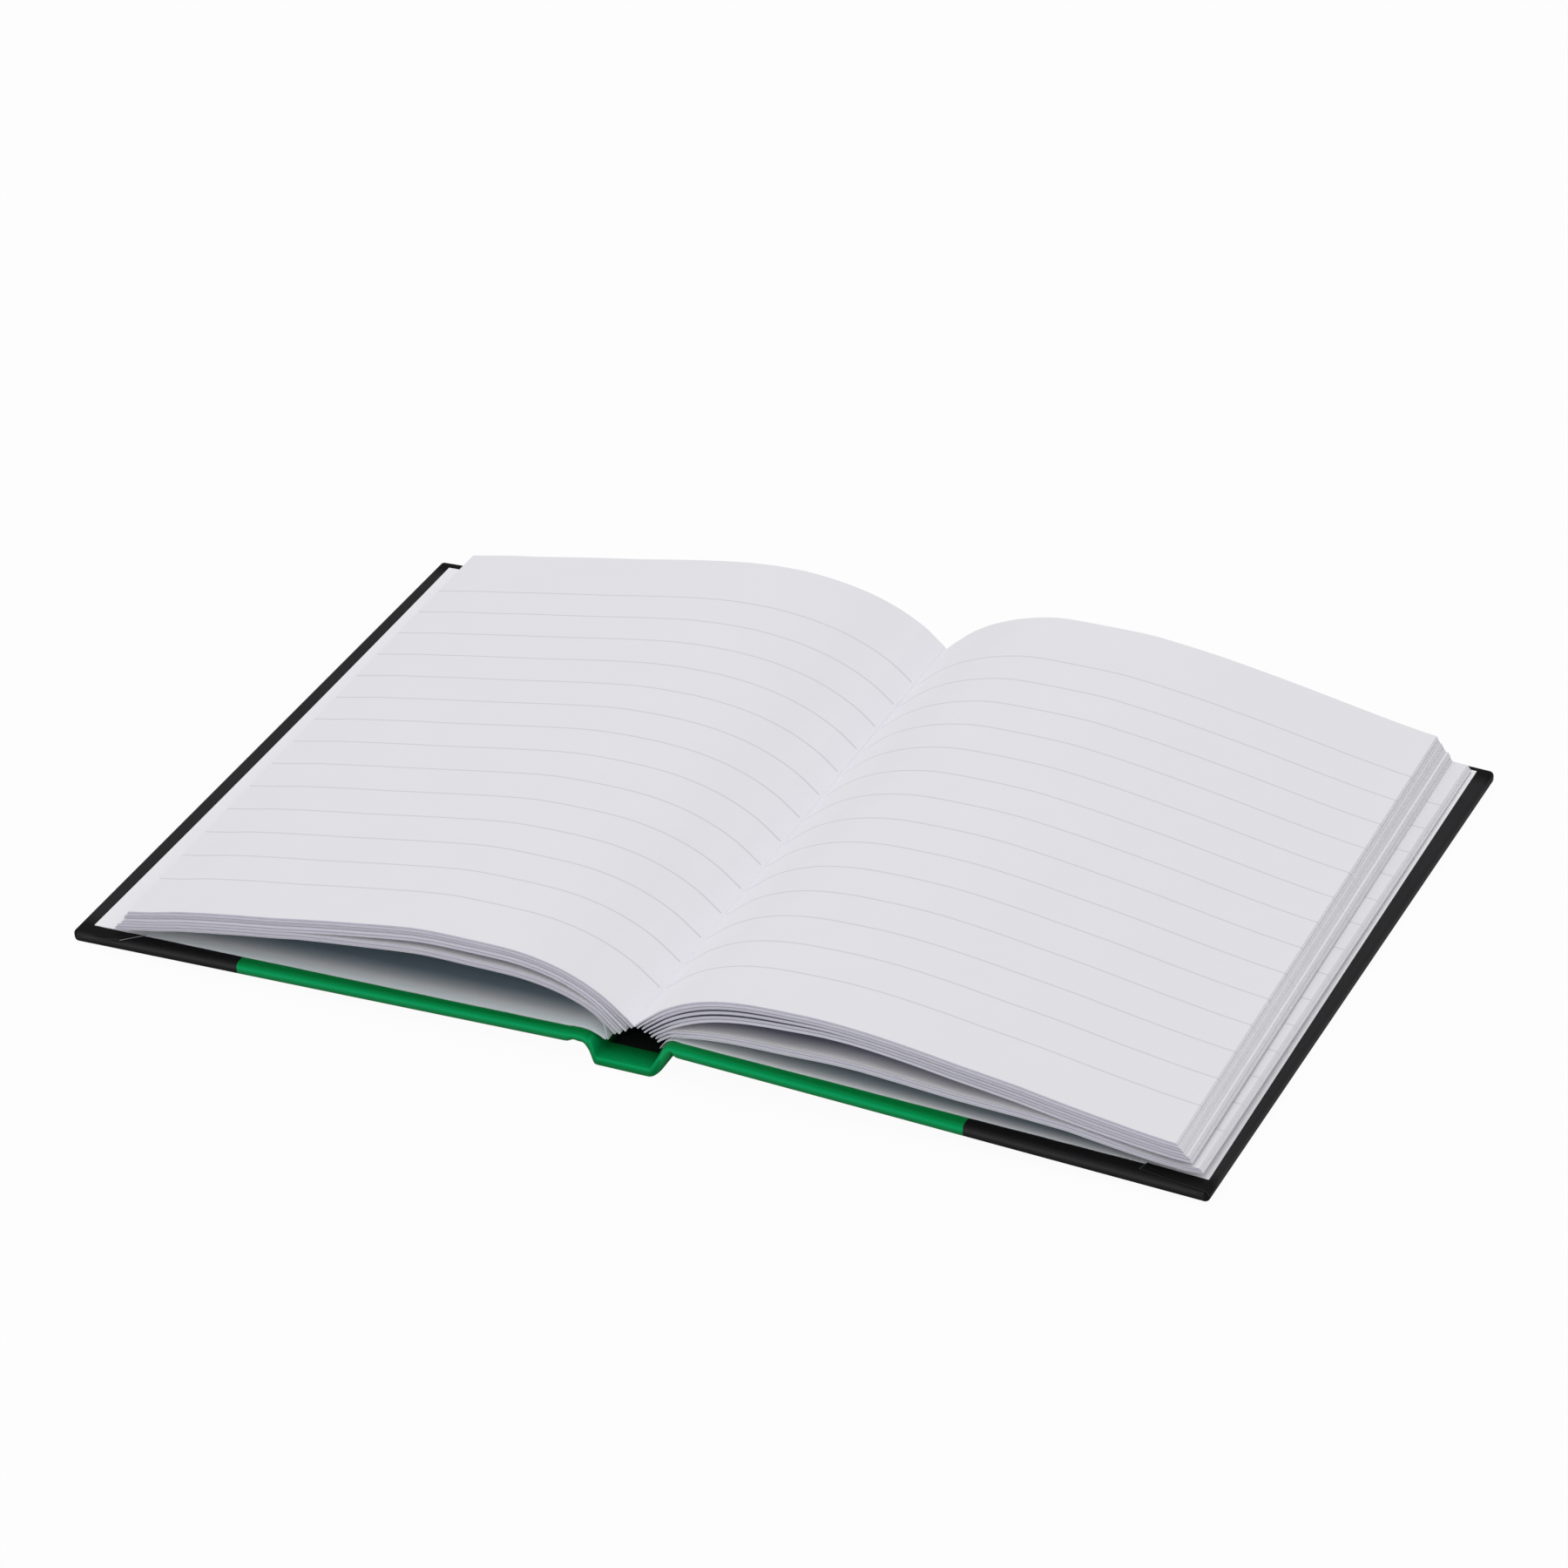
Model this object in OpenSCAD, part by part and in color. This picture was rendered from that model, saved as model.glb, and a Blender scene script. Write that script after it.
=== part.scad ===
// Open composition notebook, a sewn block of ruled leaves in a hard printed case.
// The book lies open face up: X runs across the spread, from the front cover to the
// back cover, Y runs from the tail of the page to its head, and Z is up.
// The origin is the middle of the outer face of the spine, on the table.

/* [Pages] */
// Width of a leaf, from its fold to the fore edge
page_w = 108.5; // [80:0.5:160]
// Height of a leaf
page_h = 139.7; // [100:0.1:220]
// Thickness of the leaves turned to the front cover
front_pack = 4.4; // [3:0.1:8]
// Thickness of the leaves turned to the back cover
back_pack = 5.3; // [3:0.1:8]
// Thickness of one sewn section of leaves at its fold
section_t = 0.7; // [0.5:0.05:1.2]
// Thickness of the folded endpaper sheet
endpaper_t = 0.15; // [0.1:0.01:0.3]

/* [Open spread] */
// Height of the valley between the two pages above the table
gutter_z = 8.1; // [6:0.1:12]
// Sideways lean of the valley from the middle of the spine
gutter_x = 1.3; // [0:0.1:3]
// Height of the crown of the front pages
front_crown_z = 19.7; // [16:0.1:26]
// Height of the crown of the back pages
back_crown_z = 19.7; // [16:0.1:26]
// Distance from the valley to the crown of a page
crown_x = 34; // [24:1:45]
// Height of the air between the packs of leaves on the front side
front_lens = 1.5; // [0.4:0.1:2.5]
// Height of the air between the packs of leaves on the back side
back_lens = 3.9; // [0.4:0.1:4]

/* [Case] */
// Height of the case, head to tail
case_h = 145; // [104:0.5:230]
// Width of one cover board
board_w = 102.5; // [70:0.5:170]
// Thickness of one cover board
board_t = 2.1; // [1.2:0.1:4]
// Thickness of the printed and laminated paper that wraps the boards
wrap_t = 0.25; // [0.15:0.05:0.5]
// Radius of the rounded edges of the wrapped boards
edge_r = 0.95; // [0.5:0.05:1.2]
// Radius of the corners of the covers, seen from above
corner_r = 1.4; // [1:0.1:4]
// Width of the wrap folded in behind each board
turn_in = 15; // [8:0.5:25]
// Width of the wrap folded in over the ends of the spine strip
spine_turn_in = 5.5; // [3:0.5:20]
// Border of folded wrap left bare beyond the pasted endpaper
bare_edge = 2.9; // [1.5:0.1:6]
// Width of the green print on the front cover, from the fold line outwards
front_green_w = 74.5; // [20:0.5:100]
// Width of the green print on the back cover, from the fold line outwards
back_green_w = 56.5; // [20:0.5:100]

/* [Spine] */
// Width of the flat spine, outside
spine_w = 11.7; // [9:0.1:20]
// Thickness of the stiff strip inside the spine
strip_t = 1.2; // [0.6:0.1:2.5]
// Width of wrap that bends between the spine and each board
joint_w = 8.1; // [7:0.1:12]
// Height of the fold line between the spine and the front cover
front_rise = 3.0; // [2:0.1:5]
// Height of the fold line between the spine and the back cover
back_rise = 4.8; // [2:0.1:5.5]
// Sideways run of the slanted wall on the front side
front_run = 3.0; // [2:0.1:4]
// Sideways run of the slanted wall on the back side
back_run = 3.8; // [2:0.1:4]
// Thickness of the lining glued over the folds of the sections
lining_t = 0.3; // [0.2:0.05:0.6]
// Distance that the lining stops short of the head and the tail
lining_short = 8; // [2:0.5:20]

/* [Fit] */
// Air between the fore edge of the leaves and the cover below it
rest_gap = 0.3; // [0.1:0.05:0.6]
// Air left at the fold line so that a cover can turn
fold_gap = 0.05; // [0.02:0.01:0.15]

/* [Hidden] */
// Steepness of the rise of a page out of the valley
rise_power = 3.2;
// Roundness of the shoulder where a page falls from its crown, as a share of the fall
shoulder_soft = 0.17;
// How far the folds of deeper sections move out from the valley, per mm of depth
front_spread = 0.05;
back_spread = 0.2;
// Number of straight pieces in the curve of a leaf
leaf_steps = 56;
// How far the slit between two sections reaches up from their folds
slit_len = 3.2;
// Width of that slit at the folds
slit_w = 0.12;
cover_t = board_t + 2 * wrap_t;
pastedown_h = page_h;
paper_white = [0.88, 0.88, 0.9];
green = [0.0, 0.45, 0.22];
black = [0.1, 0.1, 0.11];
grey_board = [0.6, 0.57, 0.52];

// A side of the book is a list: 0 sign along X, 1 rise and 2 run of the spine wall,
// 3 crown height, 4 thickness of its leaves, 5 its list of air lenses and 6 how far its
// folds spread.
// A lens is [depth of the leaf above it, height, start, end, lopsidedness].
front_side = [-1, front_rise, front_run, front_crown_z, front_pack,
    [[0.692 * front_pack, front_lens, 4.5, 0.65 * page_w, 0.7]], front_spread];
back_side = [1, back_rise, back_run, back_crown_z, back_pack,
    [[0.267 * back_pack, 0.2, 4, 0.22 * page_w, 0.8],
     [0.467 * back_pack, 0.3, 4, 0.29 * page_w, 0.8],
     [0.733 * back_pack, back_lens, 5, 0.88 * page_w, 0.75]], back_spread];

// Shoulder of wrap between the fold line and the board, and the tilt of a cover whose
// outer edge rests on the table
function wall_len(s) = norm([s[1], s[2]]);
function shoulder(s) = joint_w - wall_len(s);
function cover_len(s) = shoulder(s) + board_w + wrap_t;
function tilt(s) = asin(s[1] / (cover_len(s) - edge_r));
function wall_angle(s) = atan2(s[1], s[2]);
function fold_x(s) = spine_w / 2 + s[2];

// Height of the top of the endpaper pasted on a cover, at a distance x from the spine middle
function cover_top(s, x) = s[1] - (x - fold_x(s)) * tan(tilt(s))
    + (cover_t + endpaper_t) / cos(tilt(s));

// Distance from the spine middle to the valley, on one side
function valley(s) = s[0] * gutter_x;

// Height of the top page at a distance a from the valley; reach is where the fore edge
// comes to rest on the cover
function seat_z(s, reach) = cover_top(s, valley(s) + reach) + rest_gap + endpaper_t + s[4];
function fall(v) = (sqrt(v * v + pow(shoulder_soft, 2)) - shoulder_soft)
    / (sqrt(1 + pow(shoulder_soft, 2)) - shoulder_soft);
function page_z(s, a, reach) = a < crown_x
    ? gutter_z + (s[3] - gutter_z) * (1 - pow(1 - a / crown_x, rise_power))
    : s[3] - (s[3] - seat_z(s, reach)) * fall((a - crown_x) / (reach - crown_x));
function slope(s, a, reach) =
    (page_z(s, a + 0.01, reach) - page_z(s, max(a - 0.01, 0), reach)) / (a < 0.01 ? 0.01 : 0.02);

// Air opened between the packs, above a leaf at a depth d
function lens_gap(l, a) = a <= l[2] || a >= l[3] ? 0
    : l[1] * sin(180 * pow((a - l[2]) / (l[3] - l[2]), l[4]));
function air(s, a, d) = [for (l = s[5]) d > l[0] + 0.001 ? lens_gap(l, a) : 0] * [for (l = s[5]) 1];

// Point of a leaf at depth d, at a distance a along the spread, from the valley outwards
function leaf_pt(s, a, d, reach) = let (m = slope(s, a, reach), n = sqrt(1 + m * m))
    [a + d * m / n, page_z(s, a, reach) - d / n - air(s, a, d)];
function leaf_a(s, d, k) = s[6] * d + 1.06 * page_w * pow(k / leaf_steps, 1.35);

// The leaf as a line from its fold, cut where its length is the width of a page
function leaf_line(s, d, reach, k = 0, run = 0) =
    let (p = leaf_pt(s, leaf_a(s, d, k), d, reach),
         q = leaf_pt(s, leaf_a(s, d, k + 1), d, reach),
         step = norm(q - p))
    run + step >= page_w || k >= leaf_steps
        ? [p, p + (q - p) * (page_w - run) / step]
        : concat([p], leaf_line(s, d, reach, k + 1, run + step));
function tip(line) = line[len(line) - 1];
function reversed(list, from = 0) = [for (i = [len(list) - 1:-1:from]) list[i]];

// Where the lowest leaf ends: found on a first curve, then used to seat the real one
first_reach = 0.96 * page_w;
front_reach = tip(leaf_line(front_side, front_pack, first_reach))[0] + 0.6;
back_reach = tip(leaf_line(back_side, back_pack, first_reach))[0] + 0.6;
function reach_of(s) = s[0] < 0 ? front_reach : back_reach;

// Rounded folds of the sections, from the lowest to the valley, with a slit between
// each two
function section_count(s) = round(s[4] / section_t);
function section_depth(s) = s[4] / section_count(s);
function fold_arc(s, j) =
    let (t = section_depth(s), d = (j + 0.5) * t, r = (t - slit_w) / 2, reach = reach_of(s),
         c = leaf_pt(s, leaf_a(s, d, 0), d, reach), h = atan(slope(s, leaf_a(s, d, 0), reach)))
    [for (b = [-90:-36:j > 0 ? -270 : -162]) c + r * [cos(h + b), sin(h + b)]];
function slit_tip(s, j) = let (d = j * section_depth(s))
    leaf_pt(s, leaf_a(s, d, 0) + slit_len, d, reach_of(s));
function folds(s) = [for (j = [section_count(s) - 1:-1:0])
    each concat(fold_arc(s, j), j > 0 ? [slit_tip(s, j)] : [])];

// Half of the outline of the block, from the valley over the top page, down the fore
// edge and back along the lowest leaf and the folds
edge_steps = 6;
function half_outline(s) = let (reach = reach_of(s))
    concat(leaf_line(s, 0, reach),
        [for (i = [1:edge_steps]) tip(leaf_line(s, s[4] * i / edge_steps, reach))],
        let (lowest = leaf_line(s, s[4], reach)) [for (i = [len(lowest) - 2:-1:2]) lowest[i]],
        folds(s));

// Outline of the air in one lens
function lens_outline(s, l) =
    let (n = 26, reach = reach_of(s),
         a = [for (i = [0:n]) l[2] + (l[3] - l[2]) * pow(i / n, 1.3)])
    concat([for (i = [0:n]) leaf_pt(s, a[i], l[0], reach)],
        [for (i = [n - 1:-1:1]) leaf_pt(s, a[i], l[0], reach) - [0, lens_gap(l, a[i])]]);

// From distances to one side into X and Z
function place(s, pts) = [for (p = pts) [s[0] * p[0] + gutter_x, p[1]]];

module along_page(h) {
    rotate([90, 0, 0]) linear_extrude(height = h, center = true) children();
}

// All the ruled leaves, sewn in sections: one solid, with the air between the packs
// and the slits between the folds left open
module text_block() {
    color(paper_white) along_page(page_h) difference() {
        polygon(concat(place(back_side, half_outline(back_side)),
            place(front_side, reversed(half_outline(front_side), 1))));
        for (s = [front_side, back_side])
            for (l = s[5])
                polygon(place(s, lens_outline(s, l)));
    }
}

// The free half of an endpaper lies under the leaves, turns round below the last fold
// and runs back to the edge of the board
fold_out = 1.5;
fold_up = 0.45;
hang_steps = 8;
function curve(p, q, r, v) = p * pow(1 - v, 2) + q * 2 * v * (1 - v) + r * v * v;
function board_edge(s) = fold_x(s) + shoulder(s) - wrap_t;
function hang_start(s) = [board_edge(s) - rest_gap - valley(s), cover_top(s, board_edge(s))];
function flyleaf_outline(s) =
    let (t = endpaper_t, reach = reach_of(s),
         upper = leaf_line(s, s[4], reach),
         lower = leaf_line(s, s[4] + t, reach),
         fold = [upper[0][0] + fold_out, s[1] + fold_up],
         crook = fold + [2 * t, 1.6 * t],
         far = hang_start(s),
         bend = (fold + far) / 2 + [0.5, 0.1])
    concat([for (i = [3:len(upper) - 1]) upper[i]],
        [for (i = [len(lower) - 1:-1:4]) lower[i]],
        [for (i = [0:hang_steps]) curve(crook, bend + [0, t], far + [0, t], i / hang_steps)],
        [for (i = [hang_steps:-1:0]) curve(fold, bend, far, i / hang_steps)],
        [fold + [-0.6 * t, 0.4 * t], fold + [-0.4 * t, 1.5 * t]]);

module flyleaf(s) {
    color(paper_white) along_page(page_h) polygon(place(s, flyleaf_outline(s)));
}
module front_flyleaf() {
    flyleaf(front_side);
}
module back_flyleaf() {
    flyleaf(back_side);
}

// Lining glued over the folds, which holds the sections together
function under_fold(s, j, drop) =
    let (t = section_depth(s), d = (j + 0.5) * t, reach = reach_of(s),
         h = atan(slope(s, leaf_a(s, d, 0), reach)))
    leaf_pt(s, leaf_a(s, d, 0), d, reach) - ((t - slit_w) / 2 + drop) * [cos(h), sin(h)];
function under_folds(s, drop) =
    place(s, [for (j = [section_count(s) - 1:-1:1]) under_fold(s, j, drop)]);
function valley_z() = min(tip(fold_arc(front_side, 0))[1], tip(fold_arc(back_side, 0))[1]);
function under_valley(drop) = [[gutter_x, valley_z() - drop]];
module spine_lining() {
    glue = 0.03;
    color(paper_white) along_page(page_h - 2 * lining_short)
        polygon(concat(under_folds(front_side, glue), under_valley(glue),
            reversed(under_folds(back_side, glue)),
            under_folds(back_side, glue + lining_t), under_valley(glue + lining_t),
            reversed(under_folds(front_side, glue + lining_t))));
}

// Half of the trough section on one side, from the middle of its floor to the fold line:
// skin is how far a surface lies inside the outer face of the wrap
function trough_side(s, skin) =
    let (w = wall_angle(s), r = edge_r, back_off = r * tan(w / 2),
         cx = spine_w / 2 - back_off, miter = (w + tilt(s)) / 2)
    concat([for (i = [0:4]) let (b = -90 + w * i / 4) [cx + (r - skin) * cos(b), r + (r - skin) * sin(b)]],
        [[fold_x(s), s[1]] + skin / cos(miter) * [-sin(w - miter), cos(w - miter)]]);
function mirror_x(s, pts) = [for (p = pts) [s[0] * p[0], p[1]]];
function trough(skin) = concat(mirror_x(front_side, reversed(trough_side(front_side, skin))),
    mirror_x(back_side, trough_side(back_side, skin)));

module spine_strip_body() {
    strip_w = spine_w - 2 * edge_r;
    translate([-strip_w / 2, -case_h / 2 + wrap_t, wrap_t])
        cube([strip_w, case_h - 2 * wrap_t, strip_t]);
}
module spine_strip() {
    color(grey_board) spine_strip_body();
}

// The wrap over the spine: a trough with its ends folded in over the strip
module trough_band(outer, inner, length) {
    along_page(length) polygon(concat(trough(outer), reversed(trough(inner))));
}
module trough_floor(length, top) {
    floor_w = spine_w - 2 * edge_r;
    translate([-floor_w / 2, -length / 2, 0]) cube([floor_w, length, top]);
}
module spine_wrap() {
    inside_h = case_h - 2 * spine_turn_in;
    color(green) difference() {
        union() {
            trough_band(0, 2 * wrap_t, case_h);
            trough_floor(case_h, strip_t + 2 * wrap_t);
        }
        difference() {
            trough_band(wrap_t, 3 * wrap_t, inside_h);
            trough_floor(case_h, strip_t);
        }
        translate([0, 0, strip_t + wrap_t]) trough_floor(inside_h, 2 * wrap_t);
        spine_strip_body();
    }
}

// A cover is drawn in its own frame: U along its outer face from the fold line, V along
// the page and W up through its thickness, and is then laid down on its outer edge
module lay_cover(s) {
    mirror([s[0] < 0 ? 1 : 0, 0, 0])
        translate([fold_x(s), 0, s[1]]) rotate([0, tilt(s), 0]) children();
}

// Section of a slab with round edges, drawn from squares and circles
module round_bar(length, height, r) {
    for (x = [r, length - r])
        for (y = [r, height - r])
            translate([x, y]) circle(r = r, $fn = 24);
    translate([r, 0]) square([length - 2 * r, height]);
    translate([0, r]) square([length, height - 2 * r]);
}

// Slab of a wrapped board, or of the board itself when it is drawn inset
module slab(s, inset) {
    u0 = shoulder(s) - wrap_t + inset;
    length = board_w + 2 * wrap_t - 2 * inset;
    height = case_h - 2 * inset;
    thick = cover_t - 2 * inset;
    r = edge_r - inset;
    intersection() {
        translate([u0, height / 2, inset]) rotate([90, 0, 0])
            linear_extrude(height = height) round_bar(length, thick, r);
        translate([u0, -height / 2, inset]) rotate([90, 0, 90])
            linear_extrude(height = length) round_bar(height, thick, r);
        translate([u0, -height / 2, 0])
            linear_extrude(height = cover_t) round_bar(length, height, corner_r);
    }
}

module board(s) {
    color(grey_board) lay_cover(s) slab(s, wrap_t);
}

// The wrap of one cover: outer sheet, round edges and turn ins round a window in which
// the board shows, with the shoulder that bends at the fold line
module shoulder_sheet(s, thick, length) {
    miter = (wall_angle(s) + tilt(s)) / 2;
    along_page(length) polygon([[fold_gap, 0], [shoulder(s) + edge_r, 0],
        [shoulder(s) + edge_r, thick], [fold_gap - thick * tan(miter), thick]]);
}
module window(s) {
    u_end = shoulder(s) + board_w - turn_in;
    inside_h = case_h - 2 * turn_in;
    translate([shoulder(s) - 2 * wrap_t, -inside_h / 2, wrap_t])
        cube([u_end - shoulder(s) + 2 * wrap_t, inside_h, cover_t]);
}
// Slit where the turn in of the fore edge is tucked under that of the head or tail
module corner_tuck(s) {
    tuck_w = 0.15;
    tuck_angle = 10;
    u_corner = cover_len(s) - edge_r;
    for (v = [-1, 1])
        translate([u_corner, v * (case_h / 2 - edge_r), cover_t - wrap_t / 2])
            rotate([0, 0, v * (tuck_angle - 180)])
                translate([0, -tuck_w / 2, 0]) cube([turn_in + 2, tuck_w, wrap_t]);
}
module wrap_solid(s) {
    difference() {
        union() {
            slab(s, 0);
            shoulder_sheet(s, 2 * wrap_t, case_h);
        }
        slab(s, wrap_t);
        window(s);
        corner_tuck(s);
    }
}
module cover_wrap(s, u_print) {
    lay_cover(s) {
        color(green) intersection() {
            wrap_solid(s);
            translate([-1, -case_h, -1]) cube([u_print + 1, 2 * case_h, 2 * cover_t]);
        }
        color(black) intersection() {
            wrap_solid(s);
            translate([u_print, -case_h, -1]) cube([board_w, 2 * case_h, 2 * cover_t]);
        }
    }
}

// The pasted half of an endpaper: it covers the turn ins and sinks into the window
module pastedown(s) {
    u0 = shoulder(s);
    length = board_w + wrap_t - bare_edge;
    inside_h = case_h - 2 * turn_in;
    window_w = board_w - turn_in;
    top = cover_t + endpaper_t;
    color(paper_white) lay_cover(s) difference() {
        union() {
            translate([u0, -pastedown_h / 2, cover_t]) cube([length, pastedown_h, endpaper_t]);
            translate([u0, -inside_h / 2, cover_t - wrap_t]) cube([window_w, inside_h, wrap_t]);
        }
        translate([u0 - 1, -inside_h / 2 + endpaper_t, cover_t - wrap_t + endpaper_t])
            cube([window_w + 1 - endpaper_t, inside_h - 2 * endpaper_t, wrap_t + endpaper_t]);
    }
}

module front_board() {
    board(front_side);
}
module front_wrap() {
    cover_wrap(front_side, front_green_w);
}
module front_pastedown() {
    pastedown(front_side);
}
module back_board() {
    board(back_side);
}
module back_wrap() {
    cover_wrap(back_side, back_green_w);
}
module back_pastedown() {
    pastedown(back_side);
}

text_block();
front_flyleaf();
back_flyleaf();
spine_lining();
spine_strip();
spine_wrap();
front_board();
front_wrap();
front_pastedown();
back_board();
back_wrap();
back_pastedown();
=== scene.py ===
"""Looks of the open composition notebook: leaves, endpapers, printed case and studio."""

import math
import random

import bpy
import numpy as np
from mathutils import Matrix, Vector


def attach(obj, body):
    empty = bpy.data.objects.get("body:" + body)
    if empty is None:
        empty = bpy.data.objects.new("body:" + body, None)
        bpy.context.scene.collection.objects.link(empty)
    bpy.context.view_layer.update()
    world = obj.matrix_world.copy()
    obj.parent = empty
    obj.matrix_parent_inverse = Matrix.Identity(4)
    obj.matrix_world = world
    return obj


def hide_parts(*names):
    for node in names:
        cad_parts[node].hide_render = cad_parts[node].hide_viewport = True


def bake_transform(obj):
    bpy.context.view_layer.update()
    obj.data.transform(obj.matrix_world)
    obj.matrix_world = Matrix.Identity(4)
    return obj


bl_info = {
    "name": "Open Composition Notebook",
    "version": (1, 0, 0),
    "blender": (4, 5, 0),
    "location": "View3D > Sidebar > Notebook",
    "description": "Builds the leaves, endpapers, printed case and studio of an open notebook",
    "category": "Object",
}

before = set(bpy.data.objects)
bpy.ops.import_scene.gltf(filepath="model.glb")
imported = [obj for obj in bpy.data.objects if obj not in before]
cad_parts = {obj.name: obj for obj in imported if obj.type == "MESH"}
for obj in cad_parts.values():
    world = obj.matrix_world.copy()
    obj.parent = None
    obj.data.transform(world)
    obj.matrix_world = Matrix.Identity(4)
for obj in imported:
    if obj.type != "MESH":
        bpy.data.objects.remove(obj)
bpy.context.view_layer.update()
MM = 0.001


# ---------------------------------------------------------------- settings

def setting(name, description, default, **more):
    """A number in the sidebar, or a row of them."""
    if isinstance(default, tuple):
        return bpy.props.FloatVectorProperty(
            name=name, description=description, default=default, size=len(default), **more)
    return bpy.props.FloatProperty(name=name, description=description, default=default, **more)


def metres(name, description, default, precision=5):
    """A length in the sidebar, or a pair of them with the front side first."""
    return setting(name, description, default, unit="LENGTH", precision=precision)


def angle(name, description, default):
    """An angle in the sidebar, or a pair of them with the front side first."""
    return setting(name, description, default, unit="ROTATION", precision=4)


def tint(name, description, default):
    """A colour in the sidebar."""
    return setting(name, description, default, subtype="COLOR")


class NotebookSpread(bpy.types.PropertyGroup):
    """How the open book lies: heights, bows and folds, with the front side first."""

    gutter_z: metres("Valley height", "Height of the valley between the pages", 0.0081)
    gutter_x: metres("Valley lean", "Sideways place of the valley", 0.0013)
    crown: metres("Crown height", "Highest point of the front and the back pages",
                  (0.0197, 0.0197))
    crown_x: metres("Crown distance", "From the valley to the crown of a page", 0.034)
    steepness: setting("Steepness", "Power of the rise out of the valley", 3.2)
    shoulder: setting("Shoulder", "Roundness where a page falls from its crown", 0.17)
    pack: metres("Pack thickness", "Thickness of the leaves on each side", (0.0044, 0.0053))
    sections: bpy.props.IntVectorProperty(
        name="Sections", description="Whole sewn sections on each side", default=(6, 7), size=2)
    gap: metres("Air height", "Widest gap between the packs on each side", (0.0015, 0.0039))
    rise: metres("Joint height", "Height of the fold lines of the two covers", (0.0030, 0.0048))
    run: metres("Wall run", "Sideways run of the walls of the spine", (0.0030, 0.0038))
    fold_spread: setting("Fold spread", "How far the folds of deeper sections move outwards",
                         (0.05, 0.26), precision=3)
    cover_skew: angle("Cover skew", "How far each open cover leans out of square",
                      (math.radians(0.84), 0.0))
    block_shift: metres("Block shift", "The pages sit this far below the middle of the case",
                        0.0008)
    block_turn: angle("Block turn", "The pages are sewn this much askew", math.radians(0.387))


class NotebookPages(bpy.types.PropertyGroup):
    """Sizes and colours of the leaves and endpapers."""

    leaf_w: metres("Leaf width", "From the fold to the fore edge", 0.1085)
    leaf_h: metres("Leaf height", "From the tail to the head", 0.1397)
    leaf_t: metres("Leaf thickness", "Thickness of one ruled leaf", 0.000084, 6)
    endpaper_t: metres("Endpaper thickness", "Thickness of the folded endpaper sheet", 0.00015, 6)
    rule_pitch: metres("Rule pitch", "Distance between two ruled lines", 0.008667, 6)
    first_rule: metres("First rule", "Height of the top ruled line above the middle of the page",
                       0.054758, 6)
    rule_w: metres("Rule width", "Width of one ruled line", 0.0003)
    paper: tint("Paper", "Colour of the ruled paper", (0.775, 0.768, 0.805))
    cut_edge: tint("Cut edge", "Colour of the trimmed edges of the leaves", (0.70, 0.69, 0.79))
    ink: tint("Ink", "Colour of the ruled lines", (0.63, 0.63, 0.67))
    endpaper: tint("Endpaper", "Colour of the plain endpapers", (0.835, 0.83, 0.86))


class NotebookCase(bpy.types.PropertyGroup):
    """Sizes and colours of the printed case."""

    case_h: metres("Case height", "Head to tail of the covers", 0.145)
    board_w: metres("Board width", "Width of one cover board", 0.1025)
    cover_t: metres("Cover thickness", "Board with its wrap on both faces", 0.0026)
    board_t: metres("Board thickness", "Thickness of one board", 0.0021)
    wrap_t: metres("Wrap thickness", "Printed and laminated paper", 0.00025, 6)
    edge_r: metres("Edge radius", "Rounding of the wrapped edges", 0.00095)
    turn_in: metres("Turn in", "Width of wrap folded in behind the board", 0.015)
    spine_turn_in: metres("Spine turn in", "Width of wrap folded in over the ends of the spine",
                          0.0055)
    spine_w: metres("Spine width", "Width of the flat spine", 0.0117)
    joint_w: metres("Joint width", "Wrap between the spine and each board", 0.0081)
    front_green: metres("Front green width", "Green print from the fold line outwards", 0.0719)
    back_green: metres("Back green width", "Green print from the fold line outwards", 0.0578)
    green: tint("Green", "Colour of the print over the spine", (0.0, 0.215, 0.042))
    black: tint("Black", "Colour of the print on the outer cover", (0.0255, 0.0245, 0.0265))


class NotebookStudio(bpy.types.PropertyGroup):
    """Camera and light of the studio."""

    lens: setting("Lens", "Focal length on a 36 mm sensor", 145.651, unit="CAMERA")
    azimuth: angle("Azimuth", "Turn of the camera round the book", math.radians(27.497))
    elevation: angle("Elevation", "Height of the camera", math.radians(32.735))
    roll: angle("Roll", "Lean of the camera", math.radians(-3.867))
    distance: metres("Distance", "From the origin to the camera along its view", 1.205714)
    aside: metres("Aside", "Sideways place of the camera", -0.002065)
    above: metres("Above", "Upward place of the camera", 0.014826)
    key_power: setting("Overhead light", "Power of the large overhead lamp", 7.6, unit="POWER")
    sky: setting("Room light", "Strength of the light of the room", 0.73)


# ---------------------------------------------------------------- shape of the spread

# Each of these tables has the front side first and then the back side, with its sizes in mm.
# How far the fore edges of the sections jut out, from the top one down
JUTS = ((0.0, 0.1, -0.05, 0.08, 0.0, 0.1), (0.0, 0.05, -0.06, 0.08, 0.0, 0.0, 0.0))
# How far the folds of the sections stand back from the valley, from the top one down
FOLD_STARTS = ((0.0, 0.50, 0.05, 0.60, 0.15, 0.55), (0.0, 0.30, 0.0, 0.40, 0.05, 0.45, 0.10))
# Where the cut fore edges lie: depth as a share of the pack, then how much longer the leaves
# are and how much higher they end, each at the tail and at the head
ENDS = (((0.0, 1.31, 0.75, 0.40, 0.43), (1.0, 0.03, -0.50, 0.80, 0.60)),
        ((0.0, 0.52, -1.40, -0.29, -0.03), (0.732, -1.03, -2.78, -0.08, -0.72),
         (0.734, -1.05, -1.58, -0.80, -0.78), (1.0, -1.53, -2.11, -0.35, -0.33)))
LONGER, HIGHER = 1, 3
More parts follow.
